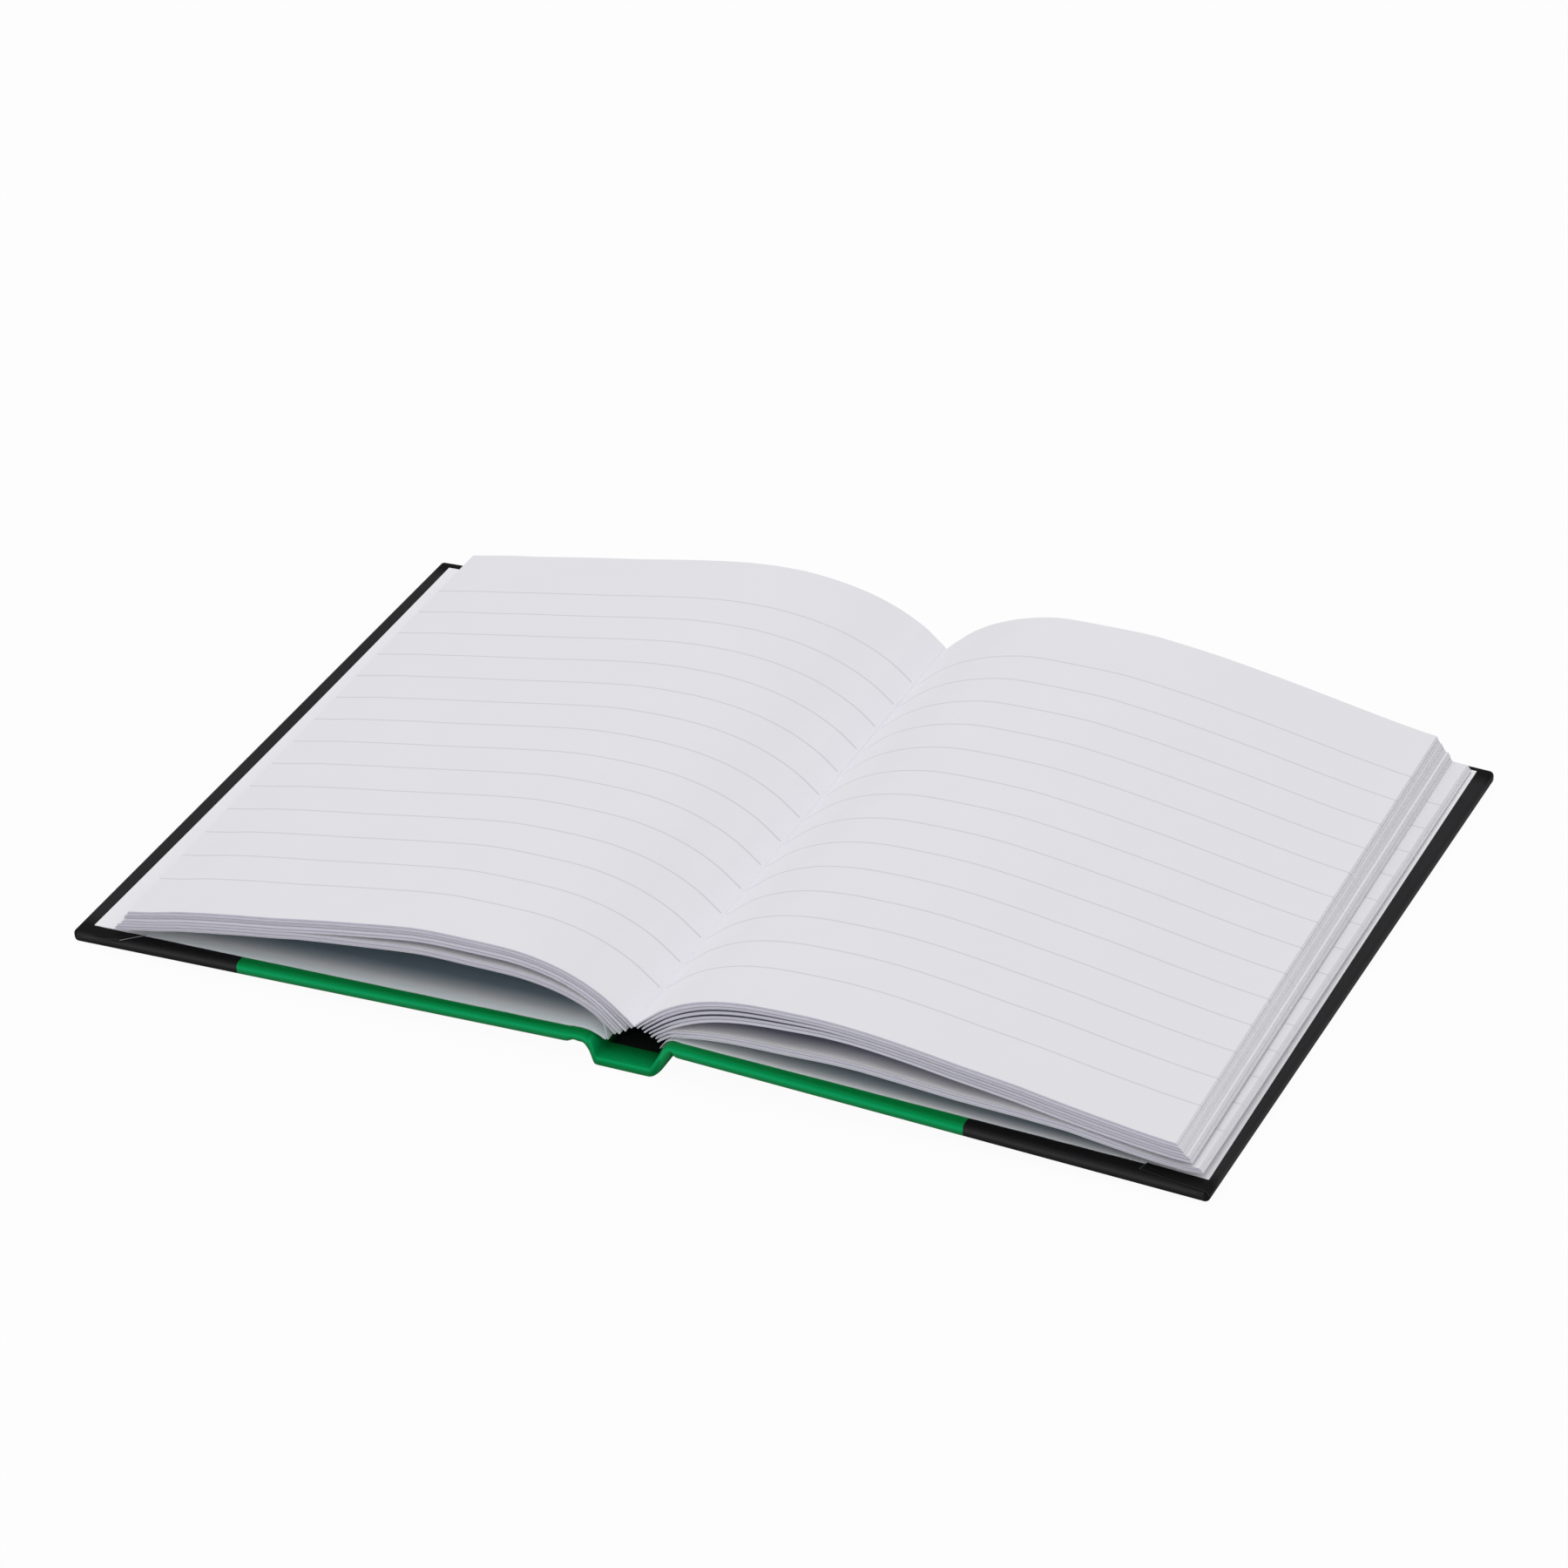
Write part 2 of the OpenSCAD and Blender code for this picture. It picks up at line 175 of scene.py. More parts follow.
# Bows of the pages away from the plain curve, and how much more of them there is at the head,
# as polynomials of the way along the page
BOWS = ((-30.03, 96.54, -109.65, 52.33, -10.53, 1.0),
        (89.71, -180.96, 121.69, -35.29, 5.04, 0.13))
TWISTS = ((17.17, -49.03, 50.69, -21.21, 1.96, -0.11),
          (14.07, -56.81, 77.94, -48.36, 13.16, -0.59))
BOW_START, BOW_REACH, TWIST_REACH = 6.0, 112.0, 70
# How much higher the outer half of a page ends, and where that half starts
OUTER_LIFT, OUTER_START = (0.0, 0.5), 60.0
# Small rises of the pages at the tail and at the head: distance from the valley and height
RISES = ((((55, 65, 75, 82, 89, 95, 101, 107), (0, 0.2, 0.38, 0.72, 0.92, 0.78, 0.2, 0)),
          ((66, 72, 78, 84, 96, 102, 108), (0, 0.17, 0.33, 0.43, 0.47, 0.2, 0))),
         (((64, 76, 88, 95, 101, 108), (0, 0.42, 0.48, 0.6, 0.53, 0.15)),
          ((12, 25, 33, 48, 60), (0, -0.2, -0.18, -0.2, 0))))
# How much the pages sag by the valley at the head: distance from the valley and depth
SAGS = (((0, 3, 6, 12, 18, 24, 30), (0.15, 0.60, 1.0, 1.08, 0.88, 0.45, 0.0)),
        ((0, 2, 5, 9, 13, 18, 24, 30), (0.60, 0.65, 0.90, 1.20, 1.32, 1.05, 0.5, 0.0)))
# Air between leaves: sections above it, its height or None for the air height of that side,
# where it starts, where it ends as a share of the leaf, and how lopsided it is
AIR = (((4.5, None, 4.5, 0.65, 0.7),),
       ((2.5, 0.30, 2.5, 0.36, 0.7), (3.5, 0.38, 2.5, 0.42, 0.7), (5.5, None, 5.0, 0.79, 0.72),
        (5.5, 0.40, 45.0, 0.97, 1.0)))
# How much thicker a pack is by its folds
PUFF, PUFF_REACH = (0.2, 0.0), 5.0
# How much the valley is raised at the tail, and how far from it
TAIL_RISE, TAIL_REACH = 0.75, 2.5
# No page stands higher than this, and the last part up to it is eased
TALLEST, EASING = 20.22, 0.5
# Air between the pasted and the free endpaper at the fore edge
SEAT_GAP = 0.3
# Where a leaf is lifted to its own height at the fore edge, as shares of its width
LIFTED = (0.8, 0.98)
# Power that crowds the points of a leaf towards its fold
CROWDING = 1.35


def fade(value, low, high):
    """Zero up to low, one from high, and smooth between."""
    t = np.clip((value - low) / (high - low), 0, 1)
    return t * t * (3 - 2 * t)


def way_along(points):
    """How far along a line each of its points is."""
    return np.r_[0, np.cumsum(np.hypot(*np.diff(points, axis=0).T))]


def points_at(want, points):
    """Points at the wanted distances along a line."""
    run = way_along(points)
    return np.stack([np.interp(want, run, points[:, 0]), np.interp(want, run, points[:, 1])], -1)


class Side:
    """One half of the spread: how its leaves bow, and where its cover lies. In mm."""

    def __init__(self, front):
        scene = bpy.context.scene
        case, pages, spread = scene.notebook_case, scene.notebook_pages, scene.notebook_spread
        k = 0 if front else 1
        self.k, self.front = k, front
        self.sign, self.name = (-1, "front") if front else (1, "back")
        self.rise, self.run = spread.rise[k] / MM, spread.run[k] / MM
        self.crown, self.crown_x = spread.crown[k] / MM, spread.crown_x / MM
        self.power, self.soft = spread.steepness, spread.shoulder
        self.gutter_z, self.gutter_x = spread.gutter_z / MM, spread.gutter_x / MM
        self.pack, self.sections = spread.pack[k] / MM, spread.sections[k]
        self.spread, self.skew = spread.fold_spread[k], math.tan(spread.cover_skew[k])
        self.cover_t, self.wrap_t = case.cover_t / MM, case.wrap_t / MM
        self.leaf_w, self.leaf_h = pages.leaf_w / MM, pages.leaf_h / MM
        self.endpaper_t, self.edge_r = pages.endpaper_t / MM, case.edge_r / MM
        self.section_t = self.pack / (self.sections + 0.5)
        gap = spread.gap[k] / MM
        self.air = [(depth * self.section_t, height or gap, start, end * self.leaf_w, lopsided)
                    for depth, height, start, end, lopsided in AIR[k]]
        self.ends = np.array(ENDS[k])
        self.shoulder = case.joint_w / MM - math.hypot(self.rise, self.run)
        self.cover_len = self.shoulder + case.board_w / MM + self.wrap_t
        self.tilt = math.asin(self.rise / (self.cover_len - self.edge_r))
        self.spine_half = case.spine_w / MM / 2
        self.fold_x = self.spine_half + self.run
        self.valley = self.sign * self.gutter_x
        # the place up the page, from its middle, that page_z and the leaf lines are for
        self.at_y = 0.0
        # how far out the lowest leaf ends: a first guess, and then from its line
        self.reach = 0.96 * self.leaf_w
        self.reach = self.leaf_line(self.pack)[-1, 0] + 0.6

    def cover_top(self, x):
        """Height of the pasted endpaper's upper face at a distance from the spine."""
        return (self.rise - (x - self.fold_x) * math.tan(self.tilt)
                + (self.cover_t + self.endpaper_t) / math.cos(self.tilt))

    def page_z(self, a):
        """Height of the open page at distances from the valley."""
        seat = self.cover_top(self.valley + self.reach) + SEAT_GAP + self.endpaper_t + self.pack
        past = (a - self.crown_x) / (self.reach - self.crown_x)
        fall = ((np.sqrt(past * past + self.soft ** 2) - self.soft)
                / (math.sqrt(1 + self.soft ** 2) - self.soft))
        climb = 1 - np.clip(1 - a / self.crown_x, 0, None) ** self.power
        plain = np.where(a < self.crown_x, self.gutter_z + (self.crown - self.gutter_z) * climb,
                         self.crown - (self.crown - seat) * fall)
        share = a / BOW_REACH
        bend = (np.polyval(BOWS[self.k], share)
                + np.polyval(TWISTS[self.k], share) * self.at_y / TWIST_REACH
                + OUTER_LIFT[self.k] * fade(a, OUTER_START, BOW_REACH))
        head = 0.5 + self.at_y / self.leaf_h
        tail = 1 - head
        valley = (TAIL_RISE * tail * np.exp(-(a / TAIL_REACH) ** 2)
                  - head * np.interp(a, *SAGS[self.k]))
        at_tail, at_head = RISES[self.k]
        rises = tail * np.interp(a, *at_tail) + head * np.interp(a, *at_head)
        z = plain + valley + rises + bend * fade(a, 0.0, BOW_START)
        over = (z - TALLEST + EASING) / EASING
        return np.where(over > 0, TALLEST - EASING + EASING * np.tanh(over), z)

    def leaf_pt(self, a, depth):
        """Points of the leaf at a depth, square below the page at distances a."""
        a = np.asarray(a, float)
        puff = PUFF[self.k] * np.exp(-((a - self.spread * depth) / PUFF_REACH) ** 2)
        below = depth * (1 + puff)
        step = 0.01
        low = np.maximum(a - step, 0)
        slope = (self.page_z(a + step) - self.page_z(low)) / (a + step - low)
        n = np.sqrt(1 + slope * slope)
        air = np.zeros_like(a)
        for above, height, start, end, lopsided in self.air:
            if depth > above:
                t = np.clip((a - start) / (end - start), 0, 1)
                air += height * np.sin(math.pi * t ** lopsided)
        lift = self.end_value(HIGHER, depth) * fade(a / self.leaf_w, *LIFTED)
        return np.stack([a + below * slope / n, self.page_z(a) - below / n - air + lift], -1)

    def end_value(self, column, depth):
        """One of the pairs of fore edge values at a depth, between the tail and the head."""
        tail, head = (np.interp(depth / self.pack, self.ends[:, 0], self.ends[:, k])
                      for k in (column, column + 1))
        return tail + (head - tail) * (0.5 + self.at_y / self.leaf_h)

    def leaf_line(self, depth, points=57, length=None, start=0.0):
        """A leaf at a depth as a line from its fold to its fore edge."""
        # the raw line runs a little past the fore edge
        a = start + self.spread * depth + 1.06 * self.leaf_w * (np.arange(120) / 118) ** CROWDING
        want = (length or self.leaf_w) * (np.arange(points) / (points - 1)) ** CROWDING
        return points_at(want, self.leaf_pt(a, depth))

    def to_world(self, p):
        """From distances along this side into X and Z."""
        return np.stack([self.sign * p[:, 0] + self.gutter_x, p[:, 1]], -1)

    def leaned(self, points):
        """Leans points of a cover out of square, from the joint outwards."""
        out = self.sign * points[..., 0] - self.fold_x
        lean = self.skew * points[..., 1] * np.clip(out / self.cover_len, 0, None)
        return np.stack([points[..., 0] - self.sign * lean, points[..., 1], points[..., 2]], -1)

    def cover_line(self, u, w):
        """From the cover's own frame into distances from the spine and heights."""
        c, s = math.cos(self.tilt), math.sin(self.tilt)
        u, w = np.asarray(u, float), np.asarray(w, float)
        return np.stack([self.fold_x + u * c + w * s, self.rise - u * s + w * c], -1)

    def on_cover(self, u, w):
        """From the cover's own frame into X and Z."""
        return self.cover_line(u, w) * [self.sign, 1]


def smooth_line(points, count):
    """A rounded line through a few guide points, with evenly spaced points."""
    pts = np.array(points, float)
    for _ in range(4):
        # each round cuts a quarter off both ends of every stretch
        near, far = pts[:-1], pts[1:]
        cut = np.stack([0.75 * near + 0.25 * far, 0.25 * near + 0.75 * far], 1).reshape(-1, 2)
        pts = np.vstack([pts[:1], cut, pts[-1:]])
    return points_at(np.linspace(0, way_along(pts)[-1], count), pts)


def seat_block(points):
    """Moves points of the pages to where the block is sewn, a little low and askew."""
    spread = bpy.context.scene.notebook_spread
    c, t = math.cos(spread.block_turn), math.sin(spread.block_turn)
    x, y = points[..., 0], points[..., 1]
    return np.stack([c * x - t * y, t * x + c * y - spread.block_shift / MM, points[..., 2]], -1)


# ---------------------------------------------------------------- making meshes

def pick_only(obj):
    """Selects one object and makes it active."""
    bpy.ops.object.select_all(action="DESELECT")
    obj.select_set(True)
    bpy.context.view_layer.objects.active = obj


def get_points(mesh):
    """Places of the points of a mesh, one row each."""
    co = np.empty(len(mesh.vertices) * 3)
    mesh.vertices.foreach_get("co", co)
    return co.reshape(-1, 3)


def get_uv(mesh):
    """UV places of the corners of the faces of a mesh, one row each."""
    uv = np.empty(len(mesh.loops) * 2)
    mesh.uv_layers["UVMap"].data.foreach_get("uv", uv)
    return uv.reshape(-1, 2)


def mark(obj, name, values):
    """Stores a number for each point, which a material reads."""
    layer = obj.data.attributes.new(name, "FLOAT", "POINT")
    layer.data.foreach_set("value", np.full(len(obj.data.vertices), values, np.float32))


def sheet(name, columns, rows, place):
    """A flat grid whose points are carried to place(i, j), in mm; its UV map stays flat."""
    bpy.ops.object.select_all(action="DESELECT")
    bpy.ops.mesh.primitive_grid_add(x_subdivisions=columns, y_subdivisions=rows, size=2)
    obj = bpy.context.object
    obj.name = obj.data.name = name
    flat = get_points(obj.data)
    i = np.rint((flat[:, 0] + 1) / 2 * columns).astype(int)
    j = np.rint((flat[:, 1] + 1) / 2 * rows).astype(int)
    obj.data.vertices.foreach_set("co", (place(i, j) * MM).ravel())
    obj.data.update()
    return obj


def keep_rest(obj):
    """Stores each point's rest place, so that a pattern stays put when the piece bends."""
    layer = obj.data.attributes.new("rest", "FLOAT_VECTOR", "POINT")
    layer.data.foreach_set("vector", get_points(obj.data).astype(np.float32).ravel())


def thicken(obj, thickness, offset=0.0):
    """Gives a sheet its thickness and closes its rim."""
    pick_only(obj)
    wall = obj.modifiers.new("thickness", "SOLIDIFY")
    wall.thickness, wall.offset = thickness, offset
    bpy.ops.object.modifier_apply(modifier=wall.name)


def smooth(obj, degrees=40):
    """Shades an object smooth, but for its edges sharper than an angle."""
    pick_only(obj)
    bpy.ops.object.shade_smooth_by_angle(angle=math.radians(degrees))


def join(objs, name):
    """Makes one object of several."""
    pick_only(objs[0])
    for obj in objs:
        obj.select_set(True)
    bpy.ops.object.join()
    objs[0].name = objs[0].data.name = name
    return objs[0]


def dress(obj, material, body=None):
    """Gives a finished piece its material and the body that it rides on."""
    if not obj.data.polygons:
        raise RuntimeError(f"{obj.name} has no faces")
    obj.data.materials.clear()
    obj.data.materials.append(material)
    if body:
        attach(obj, body)


# ---------------------------------------------------------------- finishes

# The rims that the thickness adds lie this near the border of the UV map
RIM = 0.00001
UNLIT = (0.0, 0.0, 0.0)
# Shade of the leaves inside a gap, how far light reaches into the mouth of a wide one, and how
# much of the shade it takes away
GAP_SHADE, MOUTH_REACH, MOUTH_LIGHT = (0.02, 0.018, 0.12), 0.0045, 1.3
# Painted shade of an endpaper deep in the hollow below the leaves, and painted light at its mouth
HOLLOW_SHADE, HOLLOW_MOUTH_LIGHT = (0.26, 0.335, 0.39), (0.89, 0.97, 1.0)
ENDPAPER_CUT = (0.70, 0.70, 0.75)
# Stretch of the streaks that the cut leaves show
STREAKS = (300, 300, 9000)
# Number of the lowest rule, where the top one is number 0
LAST_RULE = 13.0
# Painted light by the fold: how much lighter the ruled paper is, and how far out as a share of the
# leaf
FOLD_PAINTED_LIGHT, FOLD_PAINTED_LIGHT_REACH = 0.09, 0.13
# The rules start this far from the fold, as a share of the leaf, and their sides are this soft
RULE_START, RULE_SOFTNESS = 0.008, 1.6
# Tones of the wrap's paper at the inner end of a corner flap and along its cut tail edge
CORE_GREY, CUT_GREY = (0.30, 0.30, 0.32), (0.04, 0.04, 0.043)
# Painted shade: how much darker the black is where it turns in, and how far in from the head and
# the tail
END_SHADE, END_DEPTH, END_SHARPNESS = 0.65, 0.006, 300.0
# Tones of the painted highlight along the rolled edges of the black and of the green print, and its
# strength
PAINTED_SHEEN_BLACK, PAINTED_SHEEN_GREEN, PAINTED_SHEEN_STRENGTH = (0.050, 0.050, 0.053), (0.004, 0.48, 0.16), 0.8


class Nodes:
    """Short ways to add the nodes of a material or of the room, and to link them."""

    def __init__(self, tree):
        self.nodes, self.links = tree.nodes, tree.links

    def fill(self, node, values):
        """Sets inputs of a node, by name or place, or links an output to them."""
        for key, value in values.items():
            socket = node.inputs[key]
            if isinstance(value, bpy.types.NodeSocket):
                self.links.new(value, socket)
            elif socket.type == "RGBA":
                socket.default_value = (*value, 1.0)
            else:
                socket.default_value = value
        return node

    def add(self, kind, values=None):
        """Adds a node with some of its inputs set."""
        return self.fill(self.nodes.new("ShaderNode" + kind), values or {})

    def math(self, operation, a, b=None, c=None, clamp=False):
        """One step of arithmetic on up to three numbers."""
        node = self.add("Math")
        node.operation, node.use_clamp = operation, clamp
        given = {k: value for k, value in enumerate((a, b, c)) if value is not None}
        return self.fill(node, given).outputs[0]

    def mix(self, factor, a, b):
        """A mix of two colours."""
        node = self.add("Mix")
        node.data_type, node.clamp_factor = "RGBA", False
        return self.fill(node, {0: factor, 6: a, 7: b}).outputs[2]

    def noise(self, where, scale, detail=3.0, roughness=0.6):
        """Clouds, grain or fibre, by its scale."""
        return self.add("TexNoise", {"Vector": where, "Scale": scale, "Detail": detail,
                                     "Roughness": roughness}).outputs["Fac"]

    def attribute(self, name, output="Fac"):
        """What a piece stores for each of its points."""
        node = self.add("Attribute")
        node.attribute_name = name
        return node.outputs[output]

    def uv(self):
        """X and Y of the piece's own UV map."""
        node = self.add("UVMap")
        node.uv_map = "UVMap"
        return self.add("SeparateXYZ", {0: node.outputs[0]}).outputs

    def bump(self, shader, height, strength, distance):
        """Lets a shader show small heights."""
        node = self.add("Bump", {"Strength": strength, "Distance": distance, "Height": height})
        self.fill(shader, {"Normal": node.outputs["Normal"]})


def new_material(name):
    """A new material, its nodes and its shader."""
    mat = bpy.data.materials.new(name)
    mat.use_nodes = True
    return mat, Nodes(mat.node_tree), mat.node_tree.nodes["Principled BSDF"]


def gap_shade(n, flat, off_middle):
    """How dark a leaf is in a gap: less by the fore edge, and at the lit mouth of a wide gap."""
    reach = MOUTH_REACH / bpy.context.scene.notebook_pages.leaf_h
    # clear of shade from 0.65 to 0.85 of the way to the fore edge
    outer = n.math("MULTIPLY_ADD", flat["X"], 5.0, -3.25, clamp=True)
    dark = n.math("SUBTRACT", 1.0, n.attribute("dim"))
    dark = n.math("MULTIPLY", dark, n.math("SUBTRACT", 1.0, outer))
    wide = n.math("GREATER_THAN", n.attribute("ink"), 0.5)
    mouth = n.math("SUBTRACT", off_middle, 0.5 - reach)
    mouth = n.math("MULTIPLY", mouth, 1 / reach, clamp=True)
    mouth = n.math("MULTIPLY", mouth, wide)
    return n.math("MULTIPLY", dark, n.math("MULTIPLY_ADD", mouth, -MOUTH_LIGHT, 1.0))


def rules(n, where, flat):
    """Strength of the ruled lines, which break up a little in the fibre and end by the fold."""
    pages = bpy.context.scene.notebook_pages
    up = n.math("MULTIPLY_ADD", flat["Y"], pages.leaf_h, -0.5 * pages.leaf_h)
    step = n.math("DIVIDE", n.math("SUBTRACT", pages.first_rule, up), pages.rule_pitch)
    nearest = n.math("MAXIMUM", n.math("MINIMUM", n.math("ROUND", step), LAST_RULE), 0.0)
    off = n.math("ABSOLUTE", n.math("SUBTRACT", step, nearest))
    soft_half = RULE_SOFTNESS * 0.5 * pages.rule_w / pages.rule_pitch
    line = n.math("SUBTRACT", 1.0, n.math("DIVIDE", off, soft_half), clamp=True)
    line = n.math("MULTIPLY", line, RULE_SOFTNESS, clamp=True)
    fleck = n.math("MULTIPLY_ADD", n.noise(where, 2500.0, 2.0, 0.55), 0.5, 0.72, clamp=True)
    for part in (n.math("GREATER_THAN", flat["X"], RULE_START), fleck, n.attribute("ink")):
        line = n.math("MULTIPLY", line, part)
    return line


def paper_material(name, colour, edge_colour, ruled):
    """Uncoated paper with a fine fibre: darker where it is cut, faintly ruled where it is ruled."""
    mat, n, shader = new_material(name)
    where = n.add("TexCoord").outputs["Object"]
    flat = n.uv()
    off_middle = n.math("ABSOLUTE", n.math("SUBTRACT", flat["Y"], 0.5))
    shade = n.math("MULTIPLY_ADD", n.noise(where, 90.0, 4.0), 0.03, 0.985)
    streaks = n.add("Mapping", {"Vector": where, "Scale": STREAKS}).outputs[0]
    layers = n.math("MULTIPLY_ADD", n.noise(streaks, 1.0), 0.40, 0.80)
    if ruled:
        # the mark read here holds each sheet's tone, the painted shade between sections and the
        # painted highlight on the top sheet's edges
        layers = n.math("MULTIPLY", layers, n.attribute("tone"))
        # painted light: the ruled paper is made lighter by the fold, against the shade of the
        # valley
        past_fold = n.math("DIVIDE", flat["X"], FOLD_PAINTED_LIGHT_REACH, clamp=True)
        light = n.math("MULTIPLY_ADD", past_fold, -FOLD_PAINTED_LIGHT, 1 + FOLD_PAINTED_LIGHT)
        shade = n.math("MULTIPLY", shade, light)
        face = n.mix(shade, UNLIT, colour)
        face = n.mix(gap_shade(n, flat, off_middle), face, GAP_SHADE)
        ink = tuple(bpy.context.scene.notebook_pages.ink)
        face = n.mix(rules(n, where, flat), face, ink)
    else:
        # painted shade deep in the hollow below the leaves, and painted light at its mouth
        depth = n.attribute("painted_hollow_shade")
        face = n.mix(shade, UNLIT, colour)
        face = n.mix(n.math("MAXIMUM", depth, 0.0), face, HOLLOW_SHADE)
        face = n.mix(n.math("MULTIPLY", depth, -4.0, clamp=True), face, HOLLOW_MOUTH_LIGHT)
    fore_shade = n.math("MULTIPLY_ADD", layers, 0.22, 0.78)
    fore_face = n.mix(fore_shade, UNLIT, tuple(0.96 * c for c in colour))
    face = n.mix(n.math("GREATER_THAN", flat["X"], 1 - RIM), face, fore_face)
    cut_face = n.mix(layers, UNLIT, edge_colour)
    face = n.mix(n.math("GREATER_THAN", off_middle, 0.5 - RIM), face, cut_face)
    n.fill(shader, {"Base Color": face, "Roughness": 0.88, "Specular IOR Level": 0.2})
    n.bump(shader, n.noise(where, 3000.0, 4.0, 0.7), 0.25, 0.00006)
    return mat


def print_material():
    """Printed and laminated wrap: green over the spine, black outside it."""
    case = bpy.context.scene.notebook_case
    mat, n, shader = new_material("laminated_print")
    where = n.attribute("rest", "Vector")
    place = n.add("SeparateXYZ", {0: where}).outputs
    front_end = -Side(True).fold_x * MM - case.front_green
    back_end = Side(False).fold_x * MM + case.back_green
    is_green = n.math("MULTIPLY", n.math("GREATER_THAN", place["X"], front_end),
                      n.math("LESS_THAN", place["X"], back_end))
    clouds = n.noise(where, 60.0, roughness=0.5)

    def cloudy(colour, spread):
        """A colour that wanders to a little darker and lighter."""
        return n.mix(clouds, tuple(c * (1 - spread) for c in colour),
                     tuple(c * (1 + spread) for c in colour))

    # painted shade: the black is darker where it turns in over the head and the tail
    end = n.math("SUBTRACT", n.math("ABSOLUTE", place["Y"]), 0.5 * case.case_h - END_DEPTH)
    end = n.math("MULTIPLY", end, END_SHARPNESS, clamp=True)
    black = n.mix(n.math("MULTIPLY", end, END_SHADE), cloudy(case.black, 0.15), UNLIT)
    printed = n.mix(is_green, black, cloudy(case.green, 0.08))
    printed = n.mix(n.math("LESS_THAN", n.uv()["Y"], RIM), printed, CUT_GREY)
    printed = n.mix(n.attribute("raw"), printed, CORE_GREY)
    # a highlight is painted along the rolled edges
    painted_sheen = n.math("MULTIPLY", n.attribute("sheen"), PAINTED_SHEEN_STRENGTH)
    printed = n.mix(painted_sheen, printed, n.mix(is_green, PAINTED_SHEEN_BLACK, PAINTED_SHEEN_GREEN))
    # plain values that stay on the sockets if the links below are dropped
    n.fill(shader, {"Specular IOR Level": 0.3, "Roughness": 0.44})
    n.fill(shader, {
        "Base Color": printed,
        "Roughness": n.math("MULTIPLY_ADD", n.noise(where, 900.0), 0.16, 0.36),
        "Specular IOR Level": n.math("MULTIPLY_ADD", is_green, 0.55, 0.07),
        "Specular Tint": n.mix(is_green, (1.0, 1.0, 1.0), (0.03, 1.0, 0.42))})
    n.bump(shader, n.noise(where, 1400.0), 0.35, 0.00008)
    return mat


def board_material(name, colour, scale):
    """Grey pulp board or glued lining, with its fibre and flecks."""
    mat, n, shader = new_material(name)
    pulp = n.noise(n.add("TexCoord").outputs["Object"], scale, 5.0, 0.7)
    light, dark = (tuple(c * share for c in colour) for share in (1.12, 0.82))
    n.fill(shader, {"Base Color": n.mix(pulp, dark, light), "Roughness": 0.9})
    n.bump(shader, pulp, 0.4, 0.0001)
    return mat


# ---------------------------------------------------------------- leaves

# Sheets folded into each sewn section, and how much of its thickness they fill
SHEETS, FILLED = 4, 0.96
# How far the leaves of a section draw together at the fold, and how far from it
PINCH, PINCH_REACH = 0.60, 4.5
# Points round a fold, and how far it bulges as a share of its half height
FOLD_POINTS, FOLD_BULGE = 7, 1.1
# Tones of the cut edges of the sections, in turn, the painted shade on the first sheet that draws a
# dark line between sections, and the others
SECTION_TONES, SECTION_GAP_SHADE, OTHER_TONE = (0.0, -0.10, 0.03, -0.07), -0.27, 0.05
# Strength of the rules of a leaf that a wide gap shows, and of the others
SHOWN_INK, HIDDEN_INK = 1.0, 0.3
# How light the leaves at a gap are: in the wide gap of the front, and in the other gaps
FRONT_DIM, OTHER_DIM = 0.03, 0.30
# How far sections and sheets are out of line up and down, how unequal the lengths of leaves
# are, in the upper and in the lower pack, and how much their tones differ
SECTION_NUDGE, SHEET_NUDGE, RAGGED, RAGGED_LOW, TONE_SCATTER = 0.08, 0.03, 0.05, 0.02, 0.07
# The middle section: how many of its leaves would fill a section, the painted highlight on the cut
# edges of its top sheet, its dip at the valley, and how far its sheets are out of line
MIDDLE_LEAVES, TOP_EDGE_HIGHLIGHT, VALLEY_DIP, MIDDLE_NUDGE = 8.4, 1.25, 0.03, 0.02
# How many points a leaf has along it, in the sections and in the middle one
LEAF_STEPS, MIDDLE_STEPS, MIDDLE_ROWS = 42, 110, 14


def section_leaf(side, depth, middle, count, length, start):
    """A leaf of a section: near the spine the leaves of one section draw together."""
    line, heart = (side.leaf_line(d, count, length - start, start) for d in (depth, middle))
    pinch = PINCH * np.exp(-(way_along(line) / PINCH_REACH) ** 2)[:, None]
    return line + (heart - line) * pinch


def sheet_path(side, depths, middle, count, lengths, start):
    """One leaf, its round fold at the spine and its other leaf, as a line in X and Z."""
    top, low = (section_leaf(side, depth, middle, count, length, start)
                for depth, length in zip(depths, lengths))
    centre, arm = (top[0] + low[0]) / 2, (top[0] - low[0]) / 2
    back = top[0] + low[0] - top[1] - low[1]
    back *= np.hypot(*arm) * FOLD_BULGE / np.hypot(*back)
    phi = np.linspace(0, math.pi, FOLD_POINTS + 2)[1:-1, None]
    fold = centre + arm * np.cos(phi) + back * np.sin(phi)
    return side.to_world(np.vstack([top[::-1], fold, low]))


def lofted(name, path_at, rows, nudge=0.0):
    """A sheet whose line is given at the tail and at the head, and runs straight between."""
    height = bpy.context.scene.notebook_pages.leaf_h / MM
    tail, head = path_at(-height / 2), path_at(height / 2)

    def place(i, j):
        v = j / rows
        x, z = (tail[i, k] * (1 - v) + head[i, k] * v for k in (0, 1))
        return seat_block(np.stack([x, (v - 0.5) * height + nudge, z], -1))

    return sheet(name, len(tail) - 1, rows, place)


def mark_reach(obj, share):
    """UV X becomes the share of the way from the fold to the fore edge."""
    flat = get_uv(obj.data)
    columns = len(share) - 1
    flat[:, 0] = share[np.clip(np.rint(flat[:, 0] * columns).astype(int), 0, columns)]
    obj.data.uv_layers["UVMap"].data.foreach_set("uv", flat.ravel())


